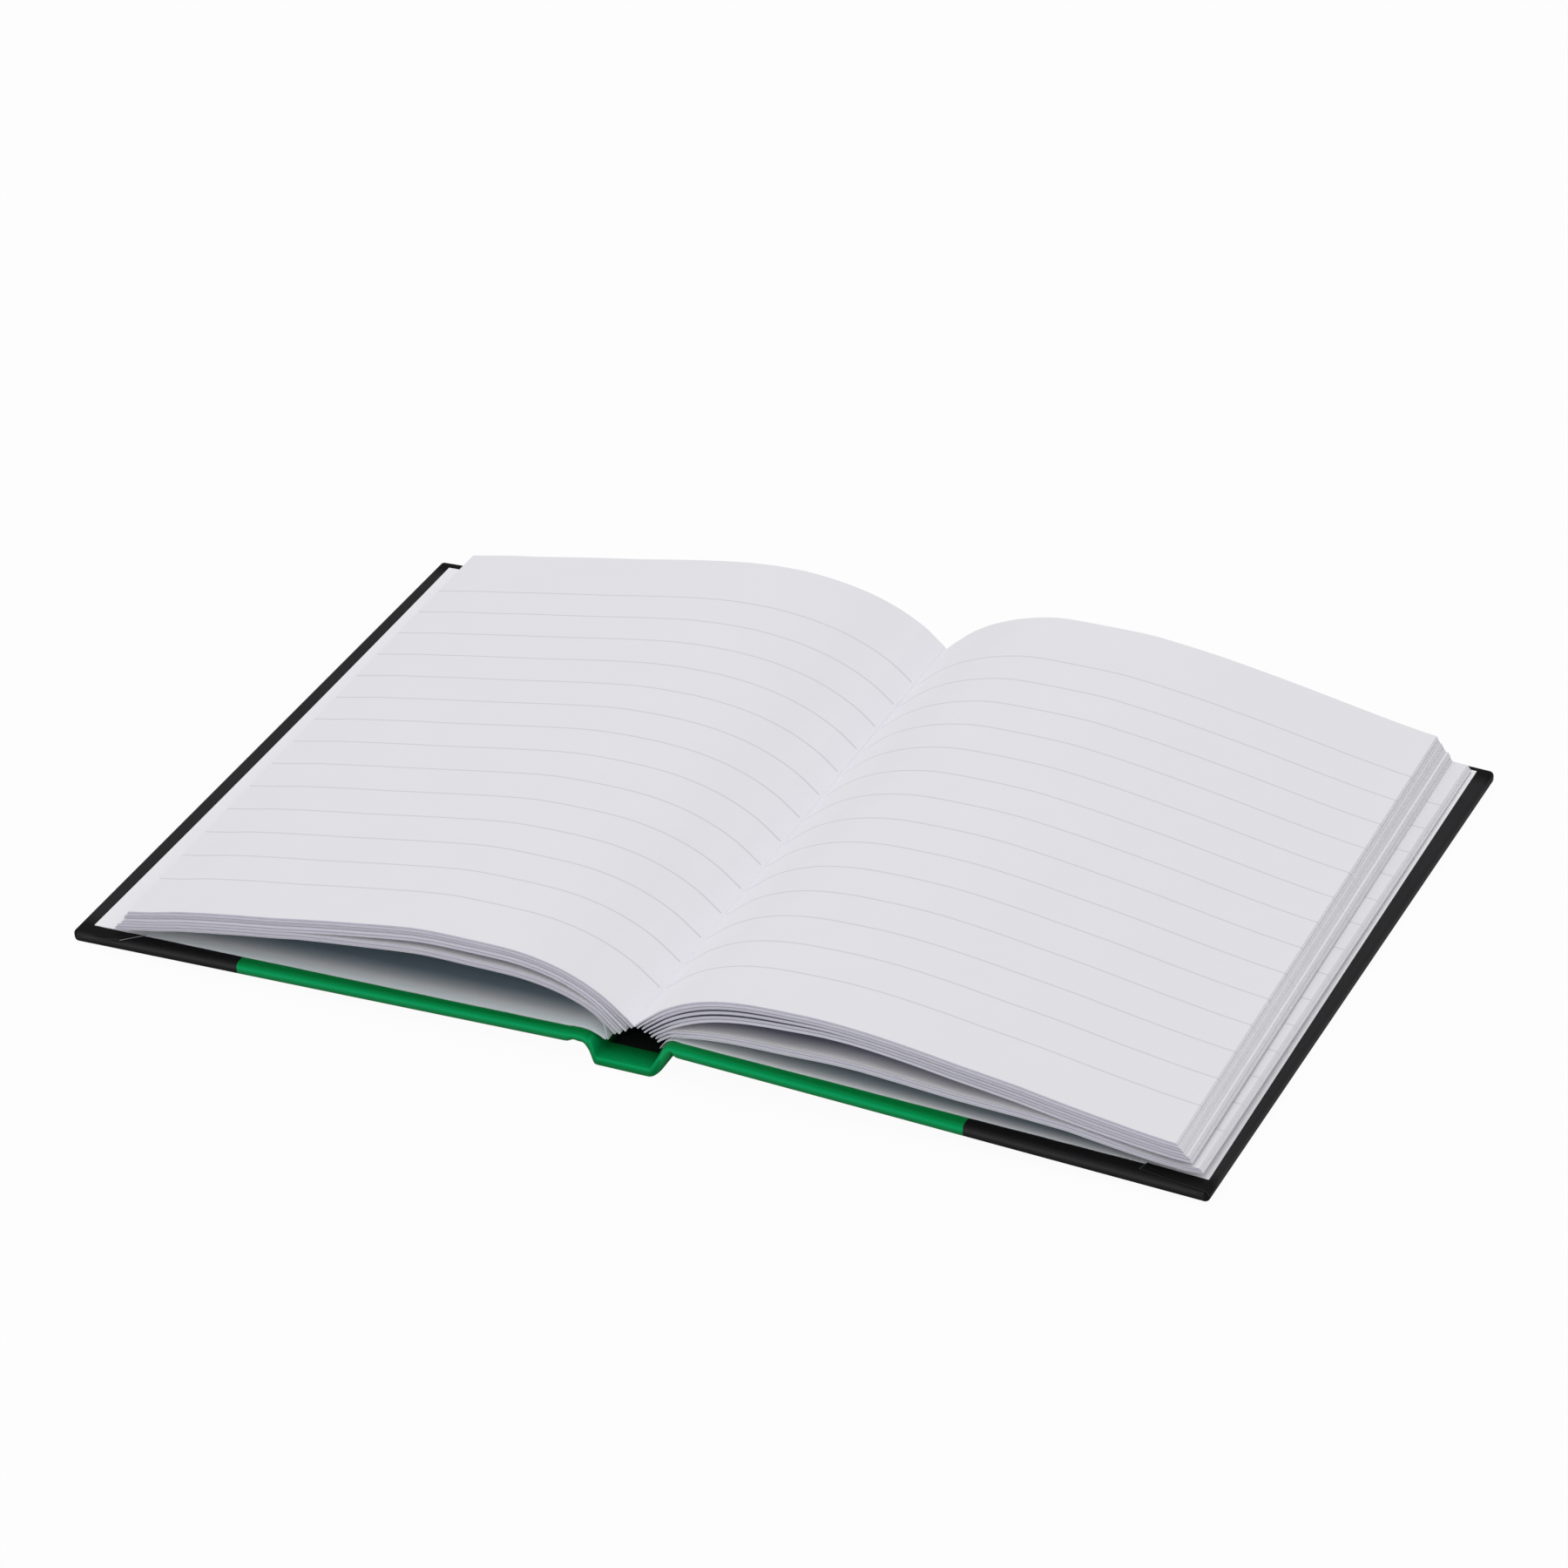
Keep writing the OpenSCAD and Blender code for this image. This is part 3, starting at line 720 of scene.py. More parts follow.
def folded_sheet(name, side, depths, middle, lengths, start, nudge):
    """One sheet of a sewn section: two leaves and the fold between them."""
    def path_at(y):
        side.at_y = y
        cut = [length + side.end_value(LONGER, depth) for length, depth in zip(lengths, depths)]
        return sheet_path(side, depths, middle, LEAF_STEPS + 1, cut, start)

    obj = lofted(name, path_at, 1, nudge)
    leaf = np.linspace(0, 1, LEAF_STEPS + 1) ** CROWDING
    mark_reach(obj, np.r_[leaf[::-1], np.zeros(FOLD_POINTS), leaf])
    return obj


def middle_sheet(name, sides, share, lengths, nudge):
    """A sheet of the middle section, which crosses the valley from page to page."""
    def path_at(y):
        halves = []
        for side, length in zip(sides, lengths):
            side.at_y = y
            cut = length + side.end_value(LONGER, 0.0)
            line = side.leaf_line(share * side.section_t, MIDDLE_STEPS + 1, cut)
            halves.append(side.to_world(line))
        front, back = halves
        valley = (front[0] + back[0]) / 2 - [0, VALLEY_DIP]
        return np.vstack([front[:0:-1], valley, back[1:]])

    obj = lofted(name, path_at, MIDDLE_ROWS, nudge)
    mark_reach(obj, np.abs(np.linspace(-1, 1, 2 * MIDDLE_STEPS + 1)) ** CROWDING)
    return obj


def section_sheets(side, section, rng):
    """The folded sheets of one sewn section, with their small differences, their tones and the
    painted shade on the first sheet's cut edges.
    """
    t = side.section_t
    start = (0.5 + section) * t
    by_gap = any(abs(start - gap[0]) < 0.01 for gap in side.air)
    by_wide_gap = abs(start - side.air[-1][0]) < 0.01
    ragged = RAGGED_LOW if start > side.air[-1][0] - 0.01 else RAGGED
    nudge = rng.uniform(-SECTION_NUDGE, SECTION_NUDGE)
    pitch = t * FILLED / (2 * SHEETS)
    sheets = []
    for k in range(SHEETS):
        depths = start + (k + 0.5) * pitch, start + FILLED * t - (k + 0.5) * pitch
        lengths = [side.leaf_w + JUTS[side.k][section] + rng.uniform(-ragged, ragged)
                   for _ in depths]
        one = folded_sheet(f"{side.name}_{section}_{k}", side, depths, start + FILLED / 2 * t,
                           lengths, FOLD_STARTS[side.k][section],
                           nudge + rng.uniform(-SHEET_NUDGE, SHEET_NUDGE))
        first = k == 0
        shown = first and by_wide_gap
        # the first sheet's cut edges get painted shade, a dark line between sections
        tone = (1.0 + SECTION_TONES[section % 4] + (SECTION_GAP_SHADE if first else OTHER_TONE)
                + rng.uniform(-TONE_SCATTER, TONE_SCATTER))
        mark(one, "tone", tone)
        mark(one, "ink", SHOWN_INK if shown else HIDDEN_INK)
        gap_dim = FRONT_DIM if shown and side.front else OTHER_DIM
        mark(one, "dim", gap_dim if first and by_gap else 1.0)
        sheets.append(one)
    return sheets


def bind(sheets, name, material):
    """Joins sheets into one piece of the block and finishes it."""
    leaf_t = bpy.context.scene.notebook_pages.leaf_t
    block = join(sheets, name)
    thicken(block, leaf_t)
    smooth(block, 50)
    dress(block, material, "block")
    return block


class NOTEBOOK_OT_leaves(bpy.types.Operator):
    """Builds the ruled leaves as folded sheets, sewn in sections"""

    bl_idname = "notebook.leaves"
    bl_label = "Ruled leaves"

    def execute(self, context):
        pages = context.scene.notebook_pages
        ruled = paper_material("ruled_paper", tuple(pages.paper), tuple(pages.cut_edge), True)
        rng = random.Random(7)
        sides = [Side(True), Side(False)]
        for side in sides:
            sheets = []
            for section in range(side.sections):
                sheets += section_sheets(side, section, rng)
            block = bind(sheets, f"{side.name}_leaves", ruled)
            if side.front:
                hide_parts("text_block")
        sheets = []
        for k in range(SHEETS):
            lengths = [side.leaf_w + rng.uniform(-RAGGED, RAGGED) for side in sides]
            one = middle_sheet(f"middle_{k}", sides, (k + 0.5) / MIDDLE_LEAVES, lengths,
                               rng.uniform(-MIDDLE_NUDGE, MIDDLE_NUDGE))
            # the top sheet's cut edges get a painted highlight
            for name, value in (("tone", 1.0 if k else TOP_EDGE_HIGHLIGHT), ("ink", 1.0), ("dim", 1.0)):
                mark(one, name, value)
            sheets.append(one)
        bind(sheets, "middle_leaves", ruled)
        return {"FINISHED"}


# ---------------------------------------------------------------- endpapers

# Each of these tables has the front side first and then the back side, in mm.
# Guide points of the endpaper's strip, from its fold below the last section over the joint
STRIPS = (((4.4, 4.25), (4.9, 4.5), (5.7, 4.95), (6.8, 5.45), (8.2, 5.80), (9.8, 5.83)),
          ((6.7, 5.15), (7.0, 5.6), (7.7, 6.55), (8.6, 7.35), (9.8, 7.6)))
# The bare wrap beyond the pasted half: its width, its skew and its bow, and then how far up
# from the middle of the cover the fore edge of that half is pasted
BARE_EDGES = ((3.20, 0.01263, 0.33, 0.16), (2.22, 0.01232, 0.10, 0.70))
# Where the hollow below the leaves is lit and where it is deep: from the head or tail inwards,
# and from the fore edge inwards
HOLLOWS = (((0.5, 7.5), (8.0, 24.0)), ((0.0, 3.6), (8.0, 15.0)))
LIT = 0.24
# How far the pasted half sinks between the turn ins
SINK = 0.22
# Rows of the two halves, and columns of the free one
PASTED_ROWS, FREE_ROWS, FREE_POINTS = 72, 24, 70
# How much shorter than the leaves the free half is, and how far it sags by its fold
FREE_SHORT, FREE_SAG = 0.4, 0.12
# Shares of its thickness that the two halves keep, so that they stay clear of their neighbours
FREE_KEPT, PASTED_KEPT = 0.9, 0.95


def shade_hidden(obj, side):
    """Marks where an endpaper lies deep between the leaves and the cover, and gets painted shade.
    """
    co = get_points(obj.data) / MM
    ends, fore = HOLLOWS[side.k]
    inward = fade(side.leaf_h / 2 - np.abs(co[:, 1]), *ends) * (1 + LIT) - LIT
    out = side.cover_len - (side.sign * co[:, 0] - side.fold_x)
    mark(obj, "painted_hollow_shade", inward * fade(out, *fore))


def free_endpaper(side, strip, plain):
    """The free half of an endpaper, which lies under the leaves of its side."""
    t = side.endpaper_t

    def path_at(y):
        side.at_y = y
        reach = side.leaf_w + side.end_value(LONGER, side.pack) - FREE_SHORT
        free = side.to_world(side.leaf_line(side.pack + 0.6 * t, FREE_POINTS, reach))
        tip = strip[0] + [0, 0.9 * t]
        return np.vstack([tip, (tip + free[5]) / 2 - [0.0, FREE_SAG], free[5:]])

    leaf = lofted(f"{side.name}_free_endpaper", path_at, FREE_ROWS)
    shade_hidden(leaf, side)
    thicken(leaf, side.endpaper_t * MM * FREE_KEPT)
    smooth(leaf)
    dress(leaf, plain, "block")
    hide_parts(f"{side.name}_flyleaf")


def pasted_endpaper(side, strip, plain):
    """The pasted half of an endpaper, with its strip over the joint."""
    scene = bpy.context.scene
    turn, half_case = scene.notebook_case.turn_in / MM, scene.notebook_case.case_h / MM / 2
    sewn_y, half_h = -scene.notebook_spread.block_shift / MM, side.leaf_h / 2
    flat_len = side.cover_len - side.shoulder
    window, length = 15.0, flat_len - 2.7
    # columns crowd across the window's fore edge
    u = np.r_[np.linspace(1.0, length - window - 2, 24),
              np.linspace(length - window, length - 9, 12), np.linspace(length - 8, length, 8)]
    count = len(strip) + len(u)
    board_u = np.r_[np.zeros(len(strip)), u]
    # rows crowd where the paper steps down from the turn ins
    steps = (-1.2, -0.8, -0.4, -0.1, 0.1, 0.4, 0.8, 1.2)
    y_rows = np.sort(np.r_[np.linspace(-half_h, half_h, PASTED_ROWS + 1 - 2 * len(steps)),
                           [s * (half_case - turn + step) for s in (-1, 1) for step in steps]])
    rng = np.random.default_rng(3 if side.front else 4)
    ragged = rng.uniform(-0.05, 0.03, (count, 2))
    bare, skew, bow, up = BARE_EDGES[side.k]

    def settle(i, y):
        """How far the paper sinks between the turn ins."""
        along = fade(half_case - turn - np.abs(y), -0.4, 0.4)
        out = fade(flat_len - turn - board_u[i], -0.5, 0.5)
        return SINK * along * out * fade(board_u[i], 0.0, 2.0)

    def place(i, j):
        end = np.where(j == 0, -1, np.where(j == PASTED_ROWS, 1, 0))
        y = y_rows[j] + end * ragged[i, (end > 0).astype(int)]
        border = flat_len - bare - skew * y - bow * (1 - (y / half_h) ** 2)
        share = board_u[i] / length
        flat = side.on_cover(side.shoulder + share * border,
                             side.cover_t + 0.5 * side.endpaper_t - settle(i, y))
        hung = strip[np.minimum(i, len(strip) - 1)]
        xz = np.where((i < len(strip))[:, None], hung, flat)
        return np.stack([xz[:, 0], y + sewn_y * (1 - share) + up * share, xz[:, 1]], -1)

    paste = sheet(f"{side.name}_pasted_endpaper", count - 1, PASTED_ROWS, place)
    shade_hidden(paste, side)
    thicken(paste, side.endpaper_t * MM * PASTED_KEPT)
    smooth(paste)
    dress(paste, plain)
    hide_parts(f"{side.name}_pastedown")
    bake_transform(paste)


class NOTEBOOK_OT_endpapers(bpy.types.Operator):
    """Builds the plain endpapers: a free leaf, its fold and the half pasted to the board"""

    bl_idname = "notebook.endpapers"
    bl_label = "Endpapers"

    def execute(self, context):
        colour = tuple(context.scene.notebook_pages.endpaper)
        plain = paper_material("plain_endpaper", colour, ENDPAPER_CUT, False)
        for side in (Side(True), Side(False)):
            edge = side.fold_x + side.shoulder - side.wrap_t
            far = (edge, side.cover_top(edge) - 0.5 * side.endpaper_t)
            strip = smooth_line([*STRIPS[side.k], far], 14) * [side.sign, 1]
            free_endpaper(side, strip, plain)
            pasted_endpaper(side, strip, plain)
        return {"FINISHED"}


# ---------------------------------------------------------------- printed case

# How strong the painted highlight is on the rolled rows, from the end inwards: on the outer face,
# on the inner face, and where the inner face crosses the joint and the spine
OUTER_SHEEN = np.array([0.5, 0.2, 0.05, 0.0])
INNER_SHEEN = np.array([0.5, 1.0, 0.9, 0.45, 0.15, 0.0])
RIM_SHEEN = np.array([0.1, 0.3, 0.5, 0.7, 0.8, 0.8, 0.6, 0.45, 0.0])
# Columns by the spine that show no sheen outside, and those that have the rim's inside
SPINE_COLUMNS, RIM_COLUMNS = 22, 30
# Rows of wrap left inside the ends of the case, over the boards and over the spine, and the
# columns left inside the fore edge and counted as spine
TURNED_ROWS, SPINE_ROWS, TURNED_COLUMNS, WINDOW_SPINE = 3, 1, 20, 24
# Points of the case's section from the spine to the board, and round each rolled edge
JOINT_POINTS, ROLL_POINTS = 52, 6
# Each of these tables has the front side first and then the back side, in mm.
# Where the flat faces of the covers begin, beyond the fold line
BOARD_STARTS = (4.6, 2.6)
# The corner flaps: the distances of the inner end from the fore edge and its Y, each low and
# high, and how far from the fore edge the flap stops
FLAPS = ((10.6, 14.6, -72.7, -69.4, 5.0), (13.6, 12.9, -71.15, -68.5, 0.0))
FLAP_COLUMNS, FLAP_ROWS, FLAP_LIFT, FLAP_T = 24, 6, 0.18, 0.00016
# How far round the rolled fore edge a flap goes
FLAP_BEND = math.radians(75)
# How much further the end of the spine juts out at the tail, in mm
SPINE_JUT = 0.85
# How much smaller than its wrap each board is, so that it stays inside, in metres
BOARD_SLACK = (0.0002, 0.0009, 0.00004)


def case_section(side):
    """The case as a loop in X and Z, from the outside of the spine's middle round the fore
    edge to its inside, with the lines that its rolled ends draw in to."""
    t, r, cover = side.cover_t, side.edge_r, side.cover_line
    half, fold, rise = side.spine_half, side.fold_x, side.rise
    begin = BOARD_STARTS[side.k]
    foot, brow = cover(begin, 0.0), cover(begin, t)
    if side.front:
        outer = [(0, 0), (half - 0.9, 0), (half - 0.05, 0), (half + 0.3, 0.55), (7.8, rise),
                 (8.35, rise + 0.5), (9.2, rise + 0.45), (10.0, rise + 0.6), (10.5, rise + 0.6),
                 (11.0, rise + 0.25), (11.6, foot[1] + 0.08), (12.2, foot[1] + 0.03), foot]
        inner = [(0, 1.7), (half - 1.3, 1.7), (half - 0.55, 1.65), (half - 0.3, 2.3),
                 (half, 3.5), (6.7, 4.85), (7.9, rise + 2.6), (9.4, rise + 2.68), brow]
    else:
        outer = [(0, 0), (half - 1.3, 0), (half - 0.1, 0.05), (half + 0.75, 0.4), (7.5, 1.35),
                 (fold - 0.15, rise - 0.1), (fold + 0.05, rise + 0.6), (fold + 0.25, rise + 1.1),
                 (fold + 0.5, rise + 0.6), (fold + 0.65, rise + 0.1),
                 (fold + 1.3, foot[1] + 0.05), foot]
        inner = [(0, 1.7), (half - 1.1, 1.7), (half - 0.35, 1.75), (half + 0.1, 2.4), (6.85, 4.2),
                 (7.65, 6.0), (8.5, rise + 2.35), (fold + 0.1, rise + 2.62), brow]
    end = side.cover_len - r
    along = np.r_[np.linspace(begin + 1.2, end - 15.5, 24), np.linspace(end - 14.2, end, 10)]
    outer, inner = (np.vstack([smooth_line(guide, JOINT_POINTS), cover(along, height + 0 * along)])
                    for guide, height in ((outer, 0.0), (inner, t)))
    middle = (outer + inner) / 2
    roll = np.minimum(r, 0.49 * np.hypot(*(inner - outer).T))
    roll = roll * (0.6 + 0.4 * fade(np.abs(outer[:, 0]), half, half + 2.5))
    # round fore edge, from the outer face to the inner one
    phi = np.linspace(0, math.pi / 2, ROLL_POINTS)
    low = np.stack([end + r * np.sin(phi[1:]), r - r * np.cos(phi[1:])], -1)
    high = np.stack([end + r * np.cos(phi[:-1]), t - r + r * np.sin(phi[:-1])], -1)
    edge = cover(*np.vstack([low, high]).T)
    at_end = np.full(len(edge), end)
    hearts = cover(at_end, np.r_[np.full(len(low), r), np.full(len(high), t - r)])
    core = cover(at_end, np.full(len(edge), t / 2))
    loop = np.vstack([outer, edge, inner[::-1]])
    heart = np.vstack([middle, hearts, middle[::-1]])
    shut = np.vstack([middle, core, middle[::-1]])
    radius = np.r_[roll, np.full(len(edge), r), roll[::-1]]
    return loop, heart, shut, radius, len(outer) + len(edge)


def mark_sheen(obj, columns, rows, inside):
    """Marks where a highlight is painted along the rolled head and tail of the wrap."""
    mesh = obj.data
    corner = np.empty(len(mesh.loops), int)
    mesh.loops.foreach_get("vertex_index", corner)
    point = np.empty((len(mesh.vertices), 2))
    point[corner] = get_uv(mesh)
    i, j = np.rint(point * [columns, rows]).astype(int).T
    k = np.minimum(j, rows - j)
    outer, inner, rim = (tones[np.minimum(k, len(tones) - 1)]
                         for tones in (OUTER_SHEEN, INNER_SHEEN, RIM_SHEEN))
    outer = outer * (i < inside) * (i > SPINE_COLUMNS)
    inner = np.where(columns - i < RIM_COLUMNS, rim, inner * (i >= inside))
    mark(obj, "sheen", np.maximum(outer, inner))


def in_edit_mode(obj, *steps):
    """Takes some steps on the selected faces of one object in edit mode."""
    pick_only(obj)
    bpy.ops.object.mode_set(mode="EDIT")
    bpy.ops.mesh.select_mode(type="FACE")
    for step, settings in steps:
        step(**settings)
    bpy.ops.object.mode_set(mode="OBJECT")


def cut_window(wrap, columns, rows, inside, steps):
    """Opens the window between the turn ins, where the case shows no wrap on its inside."""
    ops = bpy.ops.mesh
    middles = get_uv(wrap.data).reshape(-1, 4, 2).mean(axis=1)
    column, row = (middles * [columns, rows]).astype(int).T
    back_of = columns - column
    span = np.minimum(row, rows - 1 - row) - steps
    window = (column >= inside) & (span >= TURNED_ROWS) & (back_of < inside - TURNED_COLUMNS)
    window |= (back_of < WINDOW_SPINE) & (span >= SPINE_ROWS)
    if not window.any():
        raise RuntimeError(f"{wrap.name} has no faces between its turn ins")
    in_edit_mode(wrap, (ops.select_all, {"action": "DESELECT"}))
    wrap.data.polygons.foreach_set("select", window)
    in_edit_mode(wrap, (ops.delete, {"type": "FACE"}))
    # merge doubles and let the normals point outwards, with the lowest face's pointing down
    in_edit_mode(wrap, (ops.select_all, {"action": "SELECT"}),
                 (ops.remove_doubles, {"threshold": 0.000002}),
                 (ops.normals_make_consistent, {"inside": False}))
    if min(wrap.data.polygons, key=lambda face: face.center[2]).normal[2] > 0:
        in_edit_mode(wrap, (ops.select_all, {"action": "SELECT"}), (ops.flip_normals, {}))


def corner_flap(side):
    """The fore edge turn in, folded over the one of the tail at the near corner."""
    r, t, end = side.edge_r, side.cover_t, side.cover_len - side.edge_r
    low_u, high_u, low_y, high_y, stop = FLAPS[side.k]

    def place(i, j):
        across = (j / FLAP_ROWS) ** 1.4
        start = low_u + (high_u - low_u) * across
        # the second column is close to the first, for a crisp cut end
        far = np.where(i == 1, 0.005, i / FLAP_COLUMNS)
        u = side.cover_len - start + (start - stop) * far
        past = np.clip((u - end) / r, 0, 1)
        bow = past * FLAP_BEND
        lift, foot = FLAP_LIFT, low_y
        if side.front:
            lift = lift * (1 - 2.2 * fade(far, 0.1, 0.7))
        else:
            foot = low_y - 1.3 * far - 0.12 * np.sin(math.pi * far)
        lift = lift * (1 - fade(across, 0.75, 1.0) * far ** 0.1)
        u = np.where(past > 0, end + (r + lift) * np.sin(bow), u)
        w = np.where(past > 0, t - r + (r + lift) * np.cos(bow), t + lift)
        xz = side.on_cover(u, w)
        return side.leaned(np.stack([xz[:, 0], foot + (high_y - foot) * across, xz[:, 1]], -1))

    flap = sheet(f"{side.name}_corner_flap", FLAP_COLUMNS, FLAP_ROWS, place)
    mark(flap, "raw", np.arange(len(flap.data.vertices)) % (FLAP_COLUMNS + 1) == 0)
    thicken(flap, FLAP_T, -side.sign)
    return flap


def rolled_wrap(side):
    """The wrap of one cover and half of the spine, rolled over its head, tail and fore edge."""
    case = bpy.context.scene.notebook_case
    half, turn = case.case_h / MM / 2, case.turn_in / MM
    loop, heart, shut, radius, inside = case_section(side)
    theta = np.linspace(math.pi / 2, 0, ROLL_POINTS)
    # Y of the rows of the flat part, from the rolled end to the middle
    flat = np.r_[half - 1.6, half - case.spine_turn_in / MM, half - 10, half - turn,
                 np.linspace(half - turn - 2, 0, 8)]
    columns, steps = len(loop) - 1, len(theta) + 1
    rows = 2 * (steps + len(flat)) - 2
    to_heart = heart - loop
    span = np.maximum(np.hypot(*to_heart.T), 1e-6)
    jut = SPINE_JUT * (1 - fade(np.abs(loop[:, 0]), side.spine_half - 0.4, side.spine_half + 1.6))

    def place(i, j):
        mirrored = j > rows // 2
        k = np.where(mirrored, rows - j, j)
        q = np.where(k < steps, theta[np.clip(k - 1, 0, len(theta) - 1)], 0.0)
        r = radius[i]
        share = (r * (1 - np.cos(q)) / span[i])[:, None]
        xz = np.where((k == 0)[:, None], shut[i], loop[i] + to_heart[i] * share)
        plain = flat[np.clip(k - steps, 0, len(flat) - 1)]
        y = np.where(k < steps, half - r * (1 - np.sin(q)), plain)
        y = np.where(mirrored, y, -y - jut[i] * (k < steps + 2))
        return side.leaned(np.stack([side.sign * xz[:, 0], y, xz[:, 1]], -1))

    wrap = sheet(f"{side.name}_case", columns, rows, place)
    mark_sheen(wrap, columns, rows, inside)
    cut_window(wrap, columns, rows, inside, steps)
    thicken(wrap, case.wrap_t, -1.0)
    return join([wrap, corner_flap(side)], wrap.name)


class NOTEBOOK_OT_case(bpy.types.Operator):
    """Builds the printed wrap of the two covers and the spine, with rolled edges and turn ins"""

    bl_idname = "notebook.case"
    bl_label = "Printed case"

    def execute(self, context):
        laminate = print_material()
        for side in (Side(True), Side(False)):
            wrap = rolled_wrap(side)
            smooth(wrap, 35)
            keep_rest(wrap)
            dress(wrap, laminate)
            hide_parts(f"{side.name}_wrap")
            if side.front:
                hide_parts("spine_wrap")
            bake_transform(wrap)
        return {"FINISHED"}


class NOTEBOOK_OT_boards(bpy.types.Operator):
    """Gives the covers their boards, and the spine strip and the lining their finishes"""

    bl_idname = "notebook.boards"
    bl_label = "Boards and lining"

    def execute(self, context):
        case = context.scene.notebook_case
        grey = board_material("pulp_board", (0.30, 0.28, 0.25), 700.0)
        # the card of the spine strip and the lining are painted near black, as painted shade in the
        # deep trough
        dark = board_material("shade_dark_card", (0.010, 0.014, 0.012), 900.0)
        mull = board_material("shade_dark_lining", (0.05, 0.06, 0.055), 1500.0)
        sizes = (case.board_w, case.case_h, case.board_t)
        for side in (Side(True), Side(False)):
            bpy.ops.object.select_all(action="DESELECT")
            bpy.ops.mesh.primitive_cube_add(size=1)
            board = context.object
            board.name = board.data.name = f"{side.name}_pulp_board"
            board.scale = [size - slack for size, slack in zip(sizes, BOARD_SLACK)]
            bpy.ops.object.transform_apply(location=False, rotation=False, scale=True)
            edge = board.modifiers.new("edge", "BEVEL")
            edge.width, edge.segments = 0.0006, 3
            bpy.ops.object.modifier_apply(modifier=edge.name)
            co = get_points(board.data) / MM
            u = side.shoulder + case.board_w / MM / 2 + side.sign * co[:, 0]
            xz = side.on_cover(u, co[:, 2] + side.cover_t / 2)
            placed = side.leaned(np.stack([xz[:, 0], co[:, 1], xz[:, 1]], -1))
            board.data.vertices.foreach_set("co", placed.ravel() * MM)
            board.data.update()
            smooth(board)
            dress(board, grey, f"{side.name}_cover")
            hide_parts(f"{side.name}_board")
        for name, material in (("spine_strip", dark), ("spine_lining", mull)):
            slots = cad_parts[name].material_slots
            if not slots:
                raise RuntimeError(f"{name} has no place for a material")
            for slot in slots:
                slot.material = material
        return {"FINISHED"}


# ---------------------------------------------------------------- studio

# How much of its own light the floor shows the camera, and how dull the room is in the gloss
FLOOR_GLOW, GLOSS_DIM = 0.955, -0.75
LAMP_PLACE, LAMP_SIZE = Vector((-0.12, 0.2, 1.5)), 1.6


def lay_floor():
    """A plain pale floor, white to the camera, which keeps the shadow of the book."""
    bpy.ops.object.select_all(action="DESELECT")
    bpy.ops.mesh.primitive_plane_add(size=8, location=(0, 0, -0.0001))
    floor = bpy.context.object
    floor.name = "floor"
    bpy.ops.object.transform_apply(location=True, rotation=False, scale=True)
    mat, n, shader = new_material("white_sweep")
    n.fill(shader, {"Base Color": (0.62, 0.62, 0.62), "Roughness": 0.9, "Specular IOR Level": 0.0})
    glow = n.add("Emission", {"Color": (1.0, 1.0, 1.0), "Strength": 1.0})
    seen = n.math("MULTIPLY", n.add("LightPath").outputs["Is Camera Ray"], FLOOR_GLOW)
    mix = n.add("MixShader", {0: seen, 1: shader.outputs[0], 2: glow.outputs[0]})
    n.fill(mat.node_tree.nodes["Material Output"], {"Surface": mix.outputs[0]})
    floor.data.materials.append(mat)


def light_room(scene):
    """An even room, white to the camera, and one large lamp overhead."""
    studio = scene.notebook_studio
    world = bpy.data.worlds.new("studio_room")
    scene.world = world
    world.use_nodes = True
    n = Nodes(world.node_tree)
    path = n.add("LightPath").outputs
    seen = n.math("MAXIMUM", path["Is Camera Ray"], path["Is Transmission Ray"])
    strength = n.math("MULTIPLY_ADD", seen, 1.0 - studio.sky, studio.sky)
    dull = n.math("MULTIPLY_ADD", path["Is Glossy Ray"], GLOSS_DIM, 1.0)
    n.fill(n.nodes["Background"], {"Color": (1.0, 1.0, 1.0),
                                   "Strength": n.math("MULTIPLY", strength, dull)})
    data = bpy.data.lights.new("overhead_softbox", "AREA")
    data.shape, data.size, data.energy = "SQUARE", LAMP_SIZE, studio.key_power
    lamp = bpy.data.objects.new("overhead_softbox", data)
    scene.collection.objects.link(lamp)
    lamp.location = LAMP_PLACE
    lamp.rotation_euler = (-LAMP_PLACE).to_track_quat("-Z", "Y").to_euler()


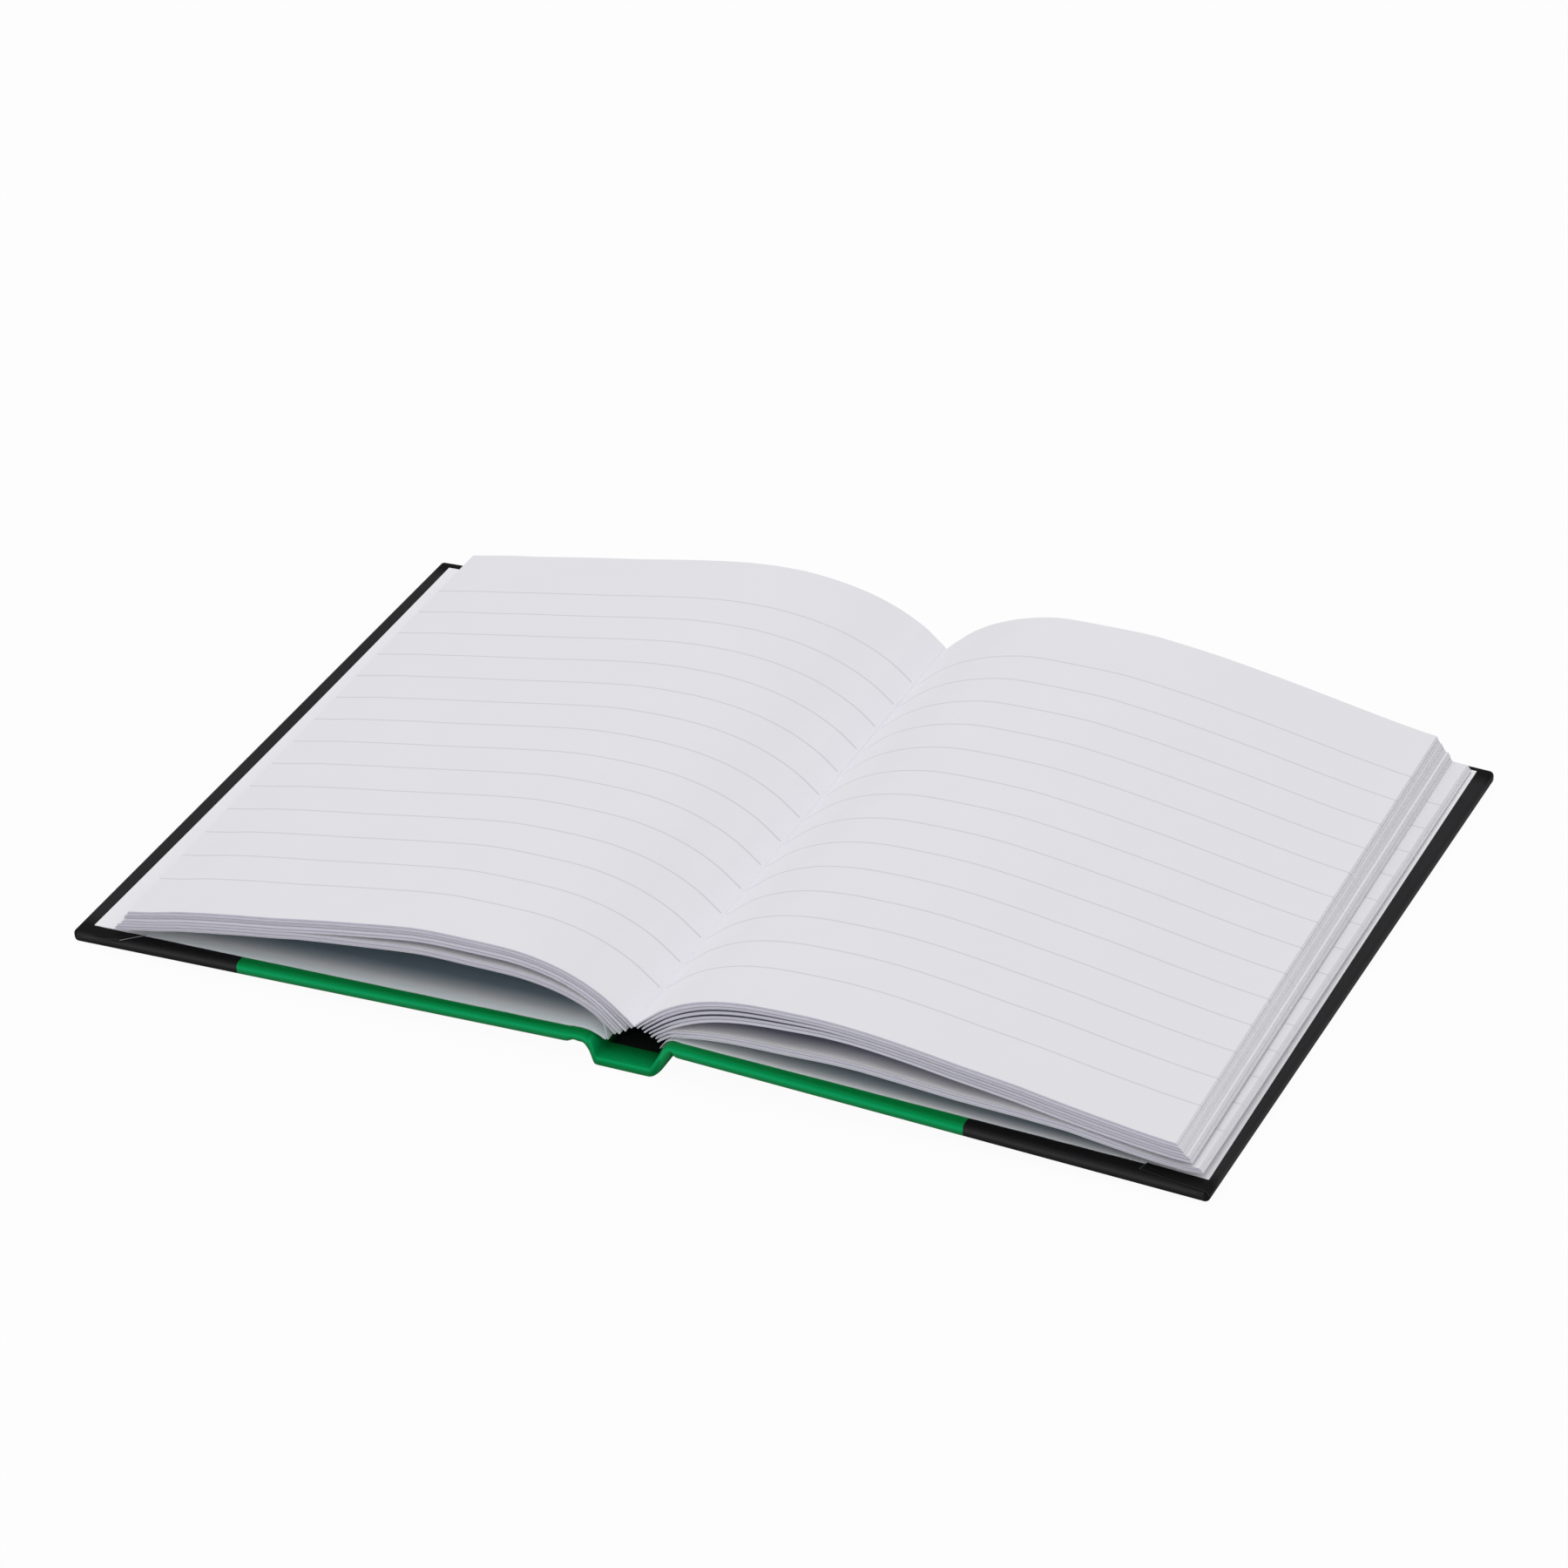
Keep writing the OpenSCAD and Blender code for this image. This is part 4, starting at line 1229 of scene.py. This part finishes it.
def set_camera(scene):
    """The camera, at the viewing angle of the photo."""
    studio = scene.notebook_studio
    a, e, roll = studio.azimuth, studio.elevation, studio.roll
    back = Vector((math.sin(a) * math.cos(e), -math.cos(a) * math.cos(e), math.sin(e)))
    level = (-back).cross(Vector((0, 0, 1))).normalized()
    upright = level.cross(-back)
    right = math.cos(roll) * level + math.sin(roll) * upright
    up = -math.sin(roll) * level + math.cos(roll) * upright
    data = bpy.data.cameras.new("camera")
    data.sensor_width, data.lens = 36, studio.lens
    data.clip_start, data.clip_end = 0.05, 50
    camera = bpy.data.objects.new("camera", data)
    scene.collection.objects.link(camera)
    place = back * studio.distance + right * studio.aside + up * studio.above
    turn = Matrix((right, up, back)).transposed()
    camera.matrix_world = Matrix.Translation(place) @ turn.to_4x4()
    scene.camera = camera


class NOTEBOOK_OT_stage(bpy.types.Operator):
    """Sets the floor, the lamp, the room and the camera"""

    bl_idname = "notebook.stage"
    bl_label = "Studio"

    def execute(self, context):
        lay_floor()
        light_room(context.scene)
        set_camera(context.scene)
        context.scene.view_settings.view_transform = "Standard"
        return {"FINISHED"}


# ---------------------------------------------------------------- sidebar

OPERATORS = (NOTEBOOK_OT_stage, NOTEBOOK_OT_leaves, NOTEBOOK_OT_endpapers, NOTEBOOK_OT_case,
             NOTEBOOK_OT_boards)
GROUPS = {"notebook_spread": NotebookSpread, "notebook_pages": NotebookPages,
          "notebook_case": NotebookCase, "notebook_studio": NotebookStudio}


class NOTEBOOK_PT_panel(bpy.types.Panel):
    """Lists the steps that build the notebook"""

    bl_label = "Notebook"
    bl_idname = "NOTEBOOK_PT_panel"
    bl_space_type = "VIEW_3D"
    bl_region_type = "UI"
    bl_category = "Notebook"

    def draw(self, context):
        for group in GROUPS:
            settings = getattr(context.scene, group)
            box = self.layout.box()
            for name in settings.__annotations__:
                box.prop(settings, name)
        for operator in OPERATORS:
            self.layout.operator(operator.bl_idname)


CLASSES = (*GROUPS.values(), *OPERATORS, NOTEBOOK_PT_panel)


def register():
    for cls in CLASSES:
        bpy.utils.register_class(cls)
    for name, group in GROUPS.items():
        setattr(bpy.types.Scene, name, bpy.props.PointerProperty(type=group))


def unregister():
    for name in GROUPS:
        delattr(bpy.types.Scene, name)
    for cls in reversed(CLASSES):
        bpy.utils.unregister_class(cls)


def main():
    register()
    bpy.ops.notebook.stage()
    bpy.ops.notebook.leaves()
    bpy.ops.notebook.endpapers()
    bpy.ops.notebook.case()
    bpy.ops.notebook.boards()


if __name__ == "__main__":
    main()
